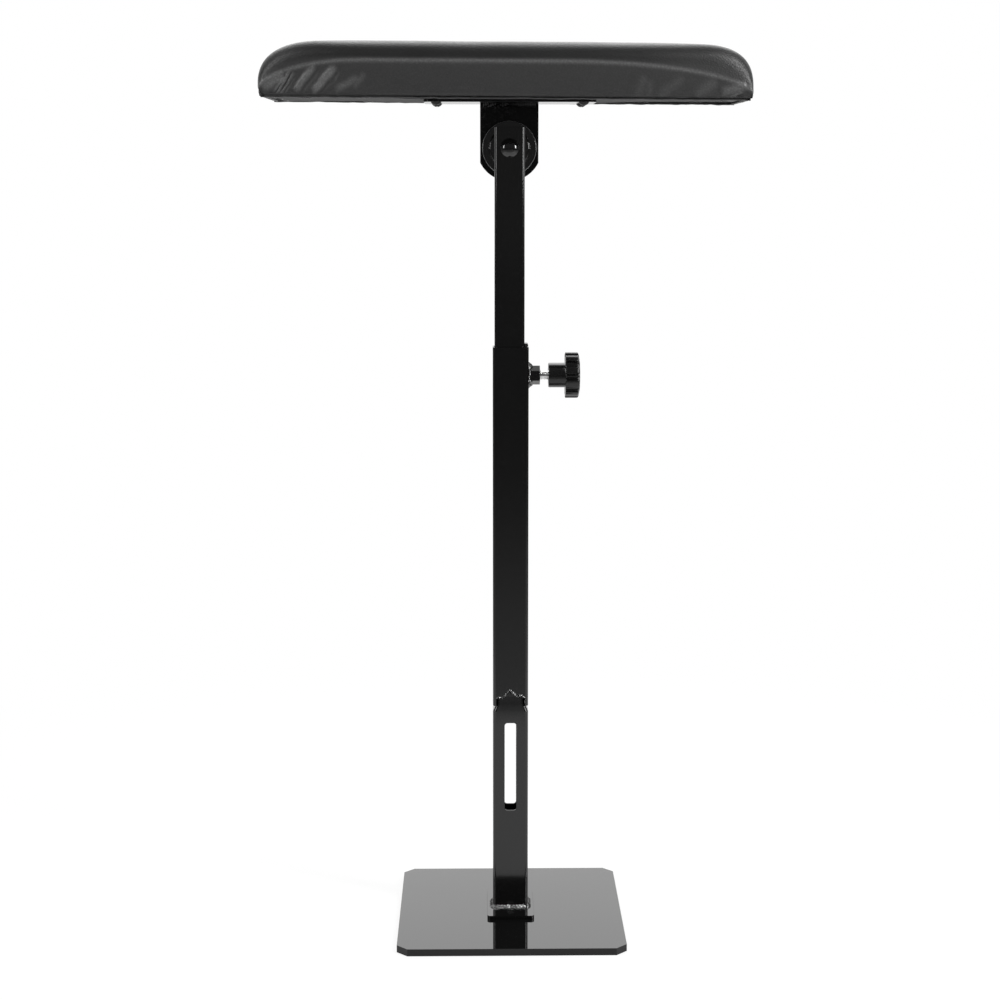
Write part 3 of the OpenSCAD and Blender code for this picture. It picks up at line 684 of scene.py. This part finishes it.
def bead(path, across, rise, leg, ripple=2.0 * MM, wobble=0.22, closed=True, around=8):
    """path: points of the corner. across, rise: unit vectors of the two faces at each point."""
    rings = []
    run = 0
    for k, spot in enumerate(path):
        if k:
            run += (spot - path[k - 1]).length
        size = leg[k] if isinstance(leg, list) else leg
        ring = [spot - across[k] * BEAD_SUNK - rise[k] * BEAD_SUNK]
        for j in range(around + 1):
            turn = math.pi / 2 * j / around
            wave = math.sin(2 * math.pi * (run / ripple) - 1.6 * math.sin(2 * turn))
            lump = noise.noise(spot / LUMP_SIZE + Vector((turn, 0, 0)))
            reach = size * (1 + wobble * (0.35 * wave + lump) - 0.22 * math.sin(2 * turn))
            ring.append(spot + across[k] * reach * math.cos(turn)
                        + rise[k] * reach * math.sin(turn))
        rings.append(ring)
    return lofted(rings, closed, capped=not closed)


def round_box(half_x, half_y, corner, step):
    """Points and outward directions round a box with rounded corners, evenly spaced."""
    spots = []
    lines = [((half_x, -half_y + corner), (half_x, half_y - corner), 0),
             ((half_x - corner, half_y), (-half_x + corner, half_y), 90),
             ((-half_x, half_y - corner), (-half_x, -half_y + corner), 180),
             ((-half_x + corner, -half_y), (half_x - corner, -half_y), 270)]
    for start, end, facing in lines:
        start, end = Vector(start), Vector(end)
        count = max(2, round((end - start).length / step))
        out = Vector((math.cos(math.radians(facing)), math.sin(math.radians(facing))))
        spots += [(start.lerp(end, k / count), out) for k in range(count)]
        hub = end - out * corner
        turns = max(2, round(corner * math.pi / 2 / step))
        for k in range(turns):
            t = math.radians(facing + 90 * k / turns)
            way = Vector((math.cos(t), math.sin(t)))
            spots.append((hub + way * corner, way))
    return spots


# %% Bead round the foot of the post
POST_CORNER = 3 * MM
FOOT_STEP = 0.45 * MM
FOOT_LEG = 2.5 * MM
post = span("lower_post")
flange_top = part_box("foot_flange")[1][2]
foot = round_box(post.x / 2, post.y / 2, POST_CORNER, FOOT_STEP)
piece("foot_weld_bead",
      bead([Vector((p.x, p.y, flange_top)) for p, _ in foot],
           [Vector((o.x, o.y, 0)) for _, o in foot], [Vector((0, 0, 1))] * len(foot), FOOT_LEG,
           ripple=2.6 * MM, wobble=0.42),
      weld_paint, "weld_black", "stand", "foot_weld", flat=False)

# %% Beads at the notch of the outer tube
notch_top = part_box("post_weld")[1][2]
notch_half = span("post_weld").x / 2
notch_y = 9.2 * MM
NOTCH_STEPS = 64
BEAD_HUMPS = ((5.8 * MM, -0.5 * MM, 4.6 * MM), (1.2 * MM, 9 * MM, 3 * MM))
BEAD_SAG = 0.8 * MM
BEAD_STRAY = 1.2 * MM
STRAY_SIZE = 5 * MM
OUT_AT_MOST = 0.9 * MM
UPPER_LEG = 1.7 * MM
LOWER_LEG = 1.4 * MM


def notch_path(side):
    """The bead's line over the notch. Each hump has a height, a place and a width."""
    path = []
    for k in range(NOTCH_STEPS + 1):
        x = notch_half * (2 * k / NOTCH_STEPS - 1)
        lift = BEAD_STRAY * noise.noise(Vector((x / STRAY_SIZE, side * 3.3, 0.4)))
        lift += sum(tall * math.exp(-((x - at) / wide) ** 2) for tall, at, wide in BEAD_HUMPS)
        near = notch_y + min(OUT_AT_MOST, max(0, lift) * 0.5)
        path.append(Vector((x, side * near, notch_top - BEAD_SAG + lift)))
    return path


halves = []
for side in (-1, 1):
    path = notch_path(side)
    out = [Vector((0, side, 0))] * len(path)
    for sense, leg in ((-1, UPPER_LEG), (1, LOWER_LEG)):
        rise = [Vector((0, 0, sense))] * len(path)
        halves.append(bead(path, out, rise, leg, wobble=0.34, closed=False))
piece("post_weld_bead", joined(halves), weld_paint, "weld_black", "stand", "post_weld",
      flat=False)

# %% Bead round the nut
nut_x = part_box("weld_nut")[0][0]
nut_flat = 7 * MM
tube_half = 8.6 * MM
NUT_STEPS = 144
NUT_OVERLAP = 0.1 * MM
SMALLEST_LEG = 1.2 * MM
LARGEST_LEG = 3.3 * MM
nut_path, nut_out, nut_leg = [], [], []
for k in range(NUT_STEPS):
    turn = 2 * math.pi * k / NUT_STEPS
    way = Vector((0, math.cos(turn), math.sin(turn)))
    off = (turn + math.pi / 6) % (math.pi / 3) - math.pi / 6
    radius = nut_flat / math.cos(off) - NUT_OVERLAP
    room = (tube_half - abs(radius * way.y)) / max(abs(way.y), 0.05)
    nut_path.append(Vector((nut_x, 0, clamp_axis.z)) + way * radius)
    nut_out.append(way)
    nut_leg.append(max(SMALLEST_LEG, min(LARGEST_LEG, room)))
piece("nut_weld_bead", bead(nut_path, nut_out, [Vector((1, 0, 0))] * NUT_STEPS, nut_leg,
      ripple=1.7 * MM), weld_paint, "weld_black", "stand", "nut_weld", flat=False)

# %% Beads between the tab and the mounting plate
TAB_STEPS = 90
TAB_LEG = 2.6 * MM
SHORT_OF_EDGE = 2.5 * MM
tab_low, tab_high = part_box("tab_bracket")
start_x, end_x = tab_low[0] + SHORT_OF_EDGE, tab_high[0] - SHORT_OF_EDGE
beads = []
for side, y in ((-1, tab_low[1]), (1, tab_high[1])):
    path = [Vector((start_x + (end_x - start_x) * k / TAB_STEPS, y, tab_high[2]))
            for k in range(TAB_STEPS + 1)]
    beads.append(bead(path, [Vector((0, side, 0))] * len(path), [Vector((0, 0, -1))] * len(path),
                      TAB_LEG, closed=False))
piece("bracket_weld_bead", joined(beads), tab_paint, "weld_black", "pad", "bracket_weld",
      flat=False)

# %% [markdown]
# ## The pad's form
# Seen from the front the pad is a long loaf. Three curves describe it: the hem below, the crease
# where the flat side turns into the soft shoulder, and the outline that the shoulder leans over
# to. Every column of points follows hem, side, shoulder and top at one place along the pad. The
# right end is fuller than the left and hangs a little lower, as in the photograph.

# %% Curves of the pad
pad_low, pad_high = [Vector(corner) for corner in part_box("pad_cover")]
pad_mid = (pad_low + pad_high) / 2
pad_half = (pad_high - pad_low) / 2
LEAN = 1.2 * MM
CROWN = 1.0 * MM
BELLY = 9.5 * MM
CREASE = 27.6 * MM
SHOULDER = 17 * MM
MARGIN = 8 * MM
HEM_DROP = 0.2 * MM
HEM_LEAN_SHARE = 0.9
CREASE_IN = 3 * MM
CREASE_ROOM = 0.5 * MM
HEM_DRAFT = 1.2 * MM
HEM_CURL = 0.8 * MM
CROWN_FADE = 12 * MM
OUTLINE_REACH = {-1: 54 * MM, 1: 46 * MM}
OUTLINE_POWER = {-1: 0.83, 1: 0.77}
CREASE_REACH = {-1: 85 * MM, 1: 150 * MM}
FOOT = {-1: 4.5 * MM, 1: 2.5 * MM}
BOW = {-1: 3 * MM, 1: 4.5 * MM}


def kept_share(value):
    return min(1, max(0, value))


def lean(x):
    """The cover is a little higher at the left and lower at the right."""
    return -LEAN * (x - pad_mid.x) / pad_half.x


def hem_z(x):
    return pad_low.z - HEM_DROP + HEM_LEAN_SHARE * lean(x)


def top_z(x, shrink):
    return pad_high.z - shrink - LEAN + lean(x) - CROWN


def from_end(x, side):
    """1 at that end of the pad, 0 where the crease has reached its full height."""
    inset = side * ((pad_mid.x + side * pad_half.x) - x)
    return kept_share(1 - inset / CREASE_REACH[side])


def crease_z(x):
    rise = min(math.sqrt(1 - from_end(x, side) ** 2) for side in (-1, 1))
    return hem_z(x) + CREASE * rise


def half_width(x):
    return pad_half.y - sum(BOW[side] * from_end(x, side) ** 2 for side in (-1, 1))


print("pad is", pad_half * 2 / MM, "mm, with its hem at", hem_z(pad_mid.x) / MM)

# %% Columns and rows
UPRIGHT_COLUMNS = 2
ROUND_COLUMNS = 12
MIDDLE_COLUMNS = 50
SIDE_ROWS = 5
SHOULDER_ROWS = 4
TOP_ROWS = 10


def pad_columns(fine, shrink):
    """For each column: outline x and z, crease x and z, hem z, and how far it is tucked under."""
    runs = {}
    for side in (-1, 1):
        tip = pad_mid.x + side * (pad_half.x - shrink)
        hem = hem_z(tip)
        low_crease = crease_z(tip - side * CREASE_IN) - hem
        run = []
        for k in range(fine):
            share = 1 - k / fine
            x = tip - side * (FOOT[side] + MARGIN * share)
            z = hem + (pad_low.z - hem) * share
            run.append((x, z, x, z, z, share))
        for k in range(UPRIGHT_COLUMNS * fine):
            share = k / (UPRIGHT_COLUMNS * fine)
            x = tip - side * FOOT[side] * (1 - share) ** 2.5
            run.append((x, hem + BELLY * share, x - side * CREASE_IN * share,
                        hem + low_crease * share, hem, 0))
        for k in range(ROUND_COLUMNS * fine + 1):
            turn = math.radians(90 * k / (ROUND_COLUMNS * fine))
            power = OUTLINE_POWER[side]
            x = tip - side * OUTLINE_REACH[side] * (1 - max(0, math.cos(turn)) ** power)
            low = hem_z(x) + BELLY
            z = low + (top_z(x, shrink) - low) * math.sin(turn) ** power
            inner = x - side * CREASE_IN * math.cos(turn)
            run.append((x, z, inner, min(crease_z(inner), z - CREASE_ROOM), hem_z(inner), 0))
        runs[side] = run
    start, end = runs[-1][-1][0], runs[1][-1][0]
    middle_part = []
    for k in range(1, MIDDLE_COLUMNS * fine):
        x = start + (end - start) * k / (MIDDLE_COLUMNS * fine)
        middle_part.append((x, top_z(x, shrink), x, crease_z(x), hem_z(x), 0))
    return runs[-1] + middle_part + list(reversed(runs[1]))


def pad_section(column, fine, shrink):
    """Points of one column, from under the front hem over the top to under the back hem."""
    x_top, z_top, x_crease, z_crease, hem, under = column
    wide = half_width(x_crease) - shrink - MARGIN * under
    front = []
    for k in range(fine):
        share = k / fine
        front.append((x_crease, wide - MARGIN * (1 - share),
                      pad_low.z + (hem - pad_low.z) * share ** 2))
    for k in range(SIDE_ROWS * fine):
        share = k / (SIDE_ROWS * fine)
        curl = HEM_CURL * max(0, 1 - share * 8) ** 2
        front.append((x_crease, wide - HEM_DRAFT * (1 - share) - curl,
                      hem + (z_crease - hem) * share))
    for k in range(SHOULDER_ROWS * fine):
        turn = math.radians(90 * k / (SHOULDER_ROWS * fine))
        over = math.sin(turn)
        front.append((x_crease + (x_top - x_crease) * over, wide - SHOULDER * (1 - math.cos(turn)),
                      z_crease + (z_top - z_crease) * over))
    lifted = kept_share((z_top - z_crease) / CROWN_FADE)
    top = []
    for k in range(TOP_ROWS * fine + 1):
        share = 2 * k / (TOP_ROWS * fine) - 1
        top.append(Vector((x_top, share * (wide - SHOULDER),
                           z_top + CROWN * lifted * (1 - share ** 2))))
    rows = [Vector((x, -y, z)) for x, y, z in front] + top
    return rows + [Vector((x, y, z)) for x, y, z in reversed(front)]


def pad_grid(fine, shrink=0):
    return [pad_section(column, fine, shrink) for column in pad_columns(fine, shrink)]


def skin(grid):
    """A closed mesh from the grid: its quads, and one face that closes the underside. If the
    volume comes out negative, the faces look inward and are turned."""
    bm = bmesh.new()
    made = [[bm.verts.new(point) for point in section] for section in grid]
    for first, second in zip(made, made[1:]):
        for k in range(len(first) - 1):
            bm.faces.new((first[k], first[k + 1], second[k + 1], second[k]))
    rim = [section[0] for section in made] + made[-1][1:]
    rim += [section[-1] for section in reversed(made[:-1])] + list(reversed(made[0][1:-1]))
    bm.faces.new(list(reversed(rim)))
    bmesh.ops.recalc_face_normals(bm, faces=bm.faces)
    bm.normal_update()
    if bm.calc_volume(signed=True) < 0:
        bmesh.ops.reverse_faces(bm, faces=bm.faces)
    return bm


# %% [markdown]
# ## Stuffing the pad
# Blender's cloth gives the cover its life. A coarse cover is pinned along the hem, where staples
# hold it to the board, and inner pressure pushes the rest out until the cloth is taut. The push
# is then added to a finer cover, point by point, and smoothed between the coarse points.


# %% Inflate a coarse cover
HELD_BAND = 3 * MM


def settle(made):
    """Applies what the modifiers make, and clears them."""
    view = bpy.context.evaluated_depsgraph_get()
    result = bpy.data.meshes.new_from_object(made.evaluated_get(view))
    old = made.data
    made.modifiers.clear()
    made.data = result
    bpy.data.meshes.remove(old)


def inflated(grid, pressure, frames, cap):
    """How far the pressure moves each point of the coarse grid, and at most as far as cap."""
    trial = placed("coarse_cover", skin(grid))
    low = [v.index for v in trial.data.vertices if v.co.z < hem_z(v.co.x) + HELD_BAND]
    held = trial.vertex_groups.new(name="board")
    held.add(low, 1, "REPLACE")
    cloth = trial.modifiers.new("stuffing", "CLOTH")
    cloth.settings.quality = 8
    cloth.settings.tension_stiffness = 40
    cloth.settings.compression_stiffness = 40
    cloth.settings.use_pressure = True
    cloth.settings.uniform_pressure_force = pressure
    cloth.settings.effector_weights.gravity = 0
    cloth.settings.vertex_group_mass = "board"
    cloth.point_cache.frame_end = frames
    for k in range(1, frames + 1):
        bpy.context.scene.frame_set(k)
    settle(trial)
    bpy.context.scene.frame_set(1)
    points = [v.co.copy() for v in trial.data.vertices]
    bpy.data.objects.remove(trial)
    moves = []
    furthest = 0
    for section in grid:
        row = []
        for spot in section:
            move = points[len(moves) * len(section) + len(row)] - spot
            furthest = max(furthest, move.length)
            row.append(move * min(1, cap / max(move.length, 1e-9)))
        moves.append(row)
    print("the cloth moved by up to", round(furthest / MM, 1), "mm")
    return moves


def weights(t):
    """Smooth weights of four neighbours in a row, at share t between the middle two."""
    return (-0.5 * t + t * t - 0.5 * t ** 3, 1 - 2.5 * t * t + 1.5 * t ** 3,
            0.5 * t + 2 * t * t - 1.5 * t ** 3, -0.5 * t * t + 0.5 * t ** 3)


def between(moves, column, row):
    """The move at a place between the coarse points."""
    i = min(int(column), len(moves) - 2)
    j = min(int(row), len(moves[0]) - 2)
    total = Vector()
    for u, du in enumerate(weights(column - i)):
        line = moves[max(0, min(len(moves) - 1, i + u - 1))]
        for v, dv in enumerate(weights(row - j)):
            total += line[max(0, min(len(line) - 1, j + v - 1))] * (du * dv)
    return total


# %% A finer cover takes the same moves
FINE = 6
PAD_SHRINK = 0.4 * MM
moves = inflated(pad_grid(1, PAD_SHRINK), pressure=0.3, frames=12, cap=0.9 * MM)
cover_grid = pad_grid(FINE, PAD_SHRINK)
for i, section in enumerate(cover_grid):
    for j in range(len(section)):
        section[j] = section[j] + between(moves, i / FINE, j / FINE)
pad = placed("pad_cover_stuffed", skin(cover_grid))
print("pad has", len(pad.data.vertices), "points")

# %% [markdown]
# ## Wrinkles
# Tight leatherette still wrinkles where it is pulled round a corner. Each fold is a short line on
# the pad's side with a width and a height, and a groove runs beside it. Small puckers follow the
# hem, and the crease stands out as a soft ridge. Ridges get a painted highlight, so the same
# sculpting writes down how much of a ridge each point is, for the shader to read.

# %% Folds on the sides of the pad
# Start and end of each fold, along the pad from its middle and up from the hem, then its width
# and its height, all in millimetres.
FOLDS = [((-167.1, 3.9), (-152.5, 22.5), 2.2, 1.4), ((-152.5, 3.1), (-135.8, 21.9), 2.4, 1.6),
         ((-135.0, 3.9), (-118.1, 14.1), 2.4, 0.8), ((-120.5, 6.0), (-112.0, 17.0), 2.0, 0.5),
         ((-181.5, 1.5), (-171.5, 18.5), 1.0, 1.2), ((-178.4, 1.5), (-168.0, 17.0), 0.9, 0.9),
         ((-184.0, 3.0), (-176.0, 14.0), 0.9, 1.0), ((-193.0, 6.0), (-176.0, 15.0), 3.4, 1.3),
         ((104.2, 1.5), (108.5, 17.0), 2.8, 0.3), ((112.3, 1.0), (113.9, 14.0), 2.6, 0.25),
         ((121.0, 2.0), (140.0, 15.0), 3.4, 0.3), ((150.0, 2.0), (166.0, 13.0), 4.0, 0.45),
         ((171.0, 5.0), (190.0, 10.0), 3.4, 1.0), ((178.0, 1.0), (187.0, 5.0), 1.2, 0.6)]
FOLD_SWAY = 0.9
SWAY_SIZE = 7
FOLD_OVERRUN_SHARE = 0.25
GROOVE_SHARE = 0.7
GROOVE_AT_SHARE = 1.7


def fold_height(along, up):
    """Height of all folds at a place on the side, and how much of a ridge it is."""
    height = ridge = 0
    wave = FOLD_SWAY * noise.noise(Vector((along / SWAY_SIZE, up / SWAY_SIZE, 1.7)))
    for (x0, z0), (x1, z1), width, tall in FOLDS:
        line = Vector((x1 - x0, z1 - z0))
        reach = Vector((along - x0, up - z0))
        share = reach.dot(line) / line.length_squared
        if not -FOLD_OVERRUN_SHARE < share < 1 + FOLD_OVERRUN_SHARE:
            continue
        aside = (reach.x * line.y - reach.y * line.x) / line.length + wave
        fade = max(0, 1 - (2 * share - 1) ** 4 / 1.6)
        crest = math.exp(-(aside / width) ** 2) * fade
        groove = math.exp(-((aside - GROOVE_AT_SHARE * width) / width) ** 2) * fade
        height += tall * (crest - GROOVE_SHARE * groove)
        ridge += tall * crest
    return height, ridge


# %% Sculpt the cover
# Heights are in millimetres. The back has the front's folds, turned end for end.
BACK_TURN = -0.93
SWELL = 0.3
SWELL_SIZE = 45 * MM
PUCKER = 0.28
PUCKER_WIDE = 5 * MM
PUCKER_DEEP = 9 * MM
PUCKER_FADE = 4
GATHER = 0.9
GATHER_SIZE = 8 * MM
GATHER_FADE = 12
CREASE_RIDGE = 0.5
CREASE_WIDE = 1.7 * MM


def sculpted(mesh):
    """Moves each point along its normal, and writes down how much painted highlight it gets."""
    wear_and_painted_highlight = mesh.attributes.new("wear_and_painted_highlight", "FLOAT", "POINT")
    normals = [v.normal.copy() for v in mesh.vertices]
    for vertex, normal in zip(mesh.vertices, normals):
        spot = vertex.co.copy()
        up = (spot.z - hem_z(spot.x)) / MM
        along = (spot.x - pad_mid.x) / MM * (1 if spot.y < 0 else BACK_TURN)
        side = kept_share((abs(normal.y) - 0.5) / 0.35)
        end = kept_share((abs(normal.x) - 0.5) / 0.35)
        over = kept_share((up - 0.4) / 1.5)
        swell = SWELL * noise.noise(spot / SWELL_SIZE)
        dimple = noise.noise(Vector((spot.x / PUCKER_WIDE, spot.y / PUCKER_DEEP, 4.1)))
        pucker = PUCKER * dimple * math.exp(-up / PUCKER_FADE)
        pleat = noise.noise(Vector((7.7, spot.y / GATHER_SIZE, up / 30)))
        gather = GATHER * pleat * math.exp(-up / GATHER_FADE)
        fold, ridge = fold_height(along, up) if side > 0 else (0, 0)
        crease = math.exp(-((spot.z - crease_z(spot.x)) / CREASE_WIDE) ** 2) * side
        height = over * (swell + pucker + fold * side + gather * end) + CREASE_RIDGE * crease
        vertex.co = spot + normal * height * MM
        # The painted highlight is strongest on the crease and on the ridges of folds.
        wear_and_painted_highlight.data[vertex.index].value = min(1, 0.8 * crease + 0.7 * ridge * side)


sculpted(pad.data)
print("sculpted", len(FOLDS), "folds on each side")

# %% [markdown]
# ## The hem
# Below the side the leatherette is turned under the board. Its folded edge shows as a thin soft
# roll under a dark gap. It is a wobbly tube that follows the front, the ends and the back.


# %% A soft roll under the side
ROLL_IN = 2.1
ROLL_DOWN = 0.8
ROLL_SWAY_IN = 0.5
ROLL_SWAY_DOWN = 0.35


def hem_roll(thick=1.15 * MM, around=8):
    """The path runs along the hem, and at the ends from shoulder to shoulder."""
    belly = (1 + UPRIGHT_COLUMNS) * FINE
    shoulder = (1 + SIDE_ROWS + SHOULDER_ROWS) * FINE
    loop = [s[FINE] for s in cover_grid[belly:-belly]]
    loop += cover_grid[-FINE - 1][shoulder:-shoulder]
    loop += [s[-FINE - 1] for s in reversed(cover_grid[belly:-belly])]
    loop += list(reversed(cover_grid[FINE][shoulder:-shoulder]))
    spots = [Vector((p.x, p.y, hem_z(p.x))) for p in loop]
    rings = []
    for k, spot in enumerate(spots):
        ahead_of = spots[(k + 1) % len(spots)] - spots[k - 1]
        out = Vector((ahead_of.y, -ahead_of.x, 0)).normalized()
        sway = noise.noise(spot / (9 * MM) + Vector((0, 0, 3)))
        fat = thick * (1 + 0.35 * noise.noise(spot / (6 * MM)))
        down = Vector((0, 0, (ROLL_DOWN + ROLL_SWAY_DOWN * sway) * MM))
        centre = spot - out * (ROLL_IN + ROLL_SWAY_IN * sway) * MM - down
        ring = []
        for j in range(around):
            turn = 2 * math.pi * j / around
            ring.append(centre + out * fat * math.cos(turn)
                        + Vector((0, 0, 1)) * fat * 0.9 * math.sin(turn))
        rings.append(ring)
    return lofted(rings)


roll = hem_roll()
roll.from_mesh(pad.data)
roll.to_mesh(pad.data)
roll.free()
print("with its hem the cover has", len(pad.data.vertices), "points")

# %% Finish the pad
pad.data.shade_smooth()
pad.data.materials.clear()
pad.data.materials.append(pad_leather)
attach(pad, "pad")
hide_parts("pad_cover")

# %% Foam inside
FOAM_IN = 4 * MM
foam = placed("foam_block", skin(pad_grid(1, FOAM_IN)))
foam_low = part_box("foam_core")[0][2]
for vertex in foam.data.vertices:
    vertex.co.z = max(vertex.co.z, foam_low)
foam.data.shade_smooth()
foam.data.materials.append(pad_foam)
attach(foam, "pad")
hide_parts("foam_core")
print("foam block has", len(foam.data.vertices), "points")

# %% Lining under the pad
LINING_THICK = 0.25 * MM
RIPPLE = 0.12 * MM
RIPPLE_SIZE = 16 * MM
SAG = 2.2 * MM
SAG_SIZE = 20 * MM
SAG_REACH = 120 * MM
SAG_FROM_SHARE = 0.62
lining_low, lining_high = [Vector(corner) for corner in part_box("underside_lining")]


def rim_of(grid):
    """The points round the edge of a grid, in order."""
    near = grid[0][:-1] + [row[-1] for row in grid[:-1]]
    return near + grid[-1][:0:-1] + [row[0] for row in reversed(grid[1:])]


def lining_mesh():
    """A thin sheet with small ripples, whose long edges hang down a little in the middle."""
    bm = bmesh.new()
    half = (lining_high - lining_low) / 2
    columns, lines = 150, 44
    under, over = [], []
    for i in range(columns + 1):
        under.append([])
        over.append([])
        for j in range(lines + 1):
            x = half.x * (2 * i / columns - 1)
            y = half.y * (2 * j / lines - 1)
            slack = max(0, abs(y) / half.y - SAG_FROM_SHARE) / (1 - SAG_FROM_SHARE)
            slack *= max(0, 1 - (x / SAG_REACH) ** 2)
            lift = RIPPLE * (1 + noise.noise(Vector((x, y, 0)) / RIPPLE_SIZE))
            lift -= SAG * slack * (1 + 0.2 * noise.noise(Vector((x, 0, 9)) / SAG_SIZE))
            spot = Vector((pad_mid.x + x, y, lining_low.z + lift))
            under[i].append(bm.verts.new(spot))
            over[i].append(bm.verts.new(spot + Vector((0, 0, LINING_THICK))))
    for grid in (under, over):
        for first, second in zip(grid, grid[1:]):
            for j in range(lines):
                bm.faces.new((first[j], first[j + 1], second[j + 1], second[j]))
    band(bm, rim_of(under), rim_of(over))
    bmesh.ops.recalc_face_normals(bm, faces=bm.faces)
    return bm


lining = piece("lining_sheet", lining_mesh(), pad_lining, "lining_fabric", "pad",
               "underside_lining", flat=False)

# %% [markdown]
# ## Paint for the CAD pieces that stay
# The small fasteners and the parts inside the hinge keep their CAD solids, whose shapes are right
# already. Each one gets the finish that its own record asks for.

# %% Materials on carried-over nodes
KEPT = {"flange_screws": zinc, "mount_screws": black_oxide, "hinge_washer": zinc,
        "spacer_bush": zinc, "staples": zinc, "pawl_pin": spring_wire, "pawl_spring": spring_wire,
        "hinge_pawl": spring_wire, "glide_plug": glide_plastic, "pad_board": pad_plywood}
for name, paint in KEPT.items():
    kept = nodes[name]
    for slot in kept.material_slots:
        slot.material = paint
    print(name, "keeps its solid,", len(kept.material_slots), "slot")

# %% [markdown]
# ## The studio
# The stand is black on white. What shows its shape is what it mirrors: a white sweep under and
# behind it, a darker room in front, and three soft boxes. The floor and the sky are plain white
# for the camera alone, and close to the stand a small share of the floor stays real, so that a
# faint shadow is kept. In a mirror the floor is white only where the sweep lies.

# %% Floor
FLOOR_SIZE = 12
SWEEP_END = -0.66
SHADOW_SHARE = 0.14
SHADOW_FROM = 0.3
SHADOW_TO = 0.9
floor_mesh = bmesh.new()
bmesh.ops.create_grid(floor_mesh, x_segments=8, y_segments=8, size=FLOOR_SIZE)
floor = placed("floor", floor_mesh)

sweep = Finish("white_sweep")
seen = sweep.ray("Camera") + sweep.ray("Transmission")
mirror_rays = sweep.ray("Glossy")
spot = sweep.place()
forward = sweep.node("ShaderNodeSeparateXYZ", {}, {"Vector": spot}, "Y")
away = sweep.node("ShaderNodeVectorMath", {"operation": "LENGTH"}, {"Vector": spot}, "Value")
sideways = sweep.node("ShaderNodeSeparateXYZ", {}, {"Vector": spot}, "X")
paper = sweep.limit(forward, SWEEP_END - 0.05, SWEEP_END + 0.02)
paper = paper * sweep.limit(sideways * sideways, 0.4, 1.0, 1, 0)
dim = sweep.mix(sweep.limit(forward, -2.6, SWEEP_END), grey(0.2), grey(0.36))
real_floor = sweep.limit(away, SHADOW_FROM, SHADOW_TO, SHADOW_SHARE, 0)
white_share = seen * (1 - real_floor) + mirror_rays * paper * 0.8
sweep.shade(Base_Color=sweep.mix(1 - mirror_rays * (1 - paper), dim, grey(0.9)), Roughness=0.8)
glow = sweep.node("ShaderNodeEmission", {}, {"Color": grey(1), "Strength": 1.0}, "Emission")
both = sweep.node("ShaderNodeMixShader", {},
                  {0: white_share, 1: Wire(sweep, sweep.shader.outputs[0]), 2: glow})
sweep.feed(sweep.tree.nodes["Material Output"].inputs["Surface"], both)
floor.data.materials.append(sweep.data)
print("sweep ends at y", SWEEP_END)

# %% Sky
world = bpy.data.worlds.new("studio")
bpy.context.scene.world = world
sky = Finish("studio", world)
toward = sky.node("ShaderNodeSeparateXYZ", {},
                  {"Vector": sky.node("ShaderNodeTexCoord", {}, {}, "Generated")}, "Y")
behind = sky.limit(toward, 0.15, 0.5)
room = sky.mix(behind, grey(0.165), grey(1))
sky.feed(sky.tree.nodes["Background"].inputs["Color"],
         sky.mix(sky.ray("Camera") + sky.ray("Transmission"), room, grey(1)))
print("sky is", world.name)


# %% Lamps
def softbox(name, place, aim, size, power):
    lamp = bpy.data.lights.new(name, "AREA")
    lamp.shape = "RECTANGLE"
    lamp.size, lamp.size_y = size
    lamp.energy = power
    box = bpy.data.objects.new(name, lamp)
    box.location = place
    box.rotation_euler = (Vector(aim) - Vector(place)).to_track_quat("-Z", "Y").to_euler()
    box.visible_camera = False
    bpy.context.scene.collection.objects.link(box)
    return box


softbox("above_behind", (0, 1.5, 2.0), (0, 0, 0.4), (2.0, 1.4), 24)
softbox("left", (-1.22, -0.7, 1.41), (0, 0, 0.66), (0.3, 1.8), 17)
softbox("right", (1.22, -0.7, 1.41), (0, 0, 0.66), (0.3, 1.8), 36)
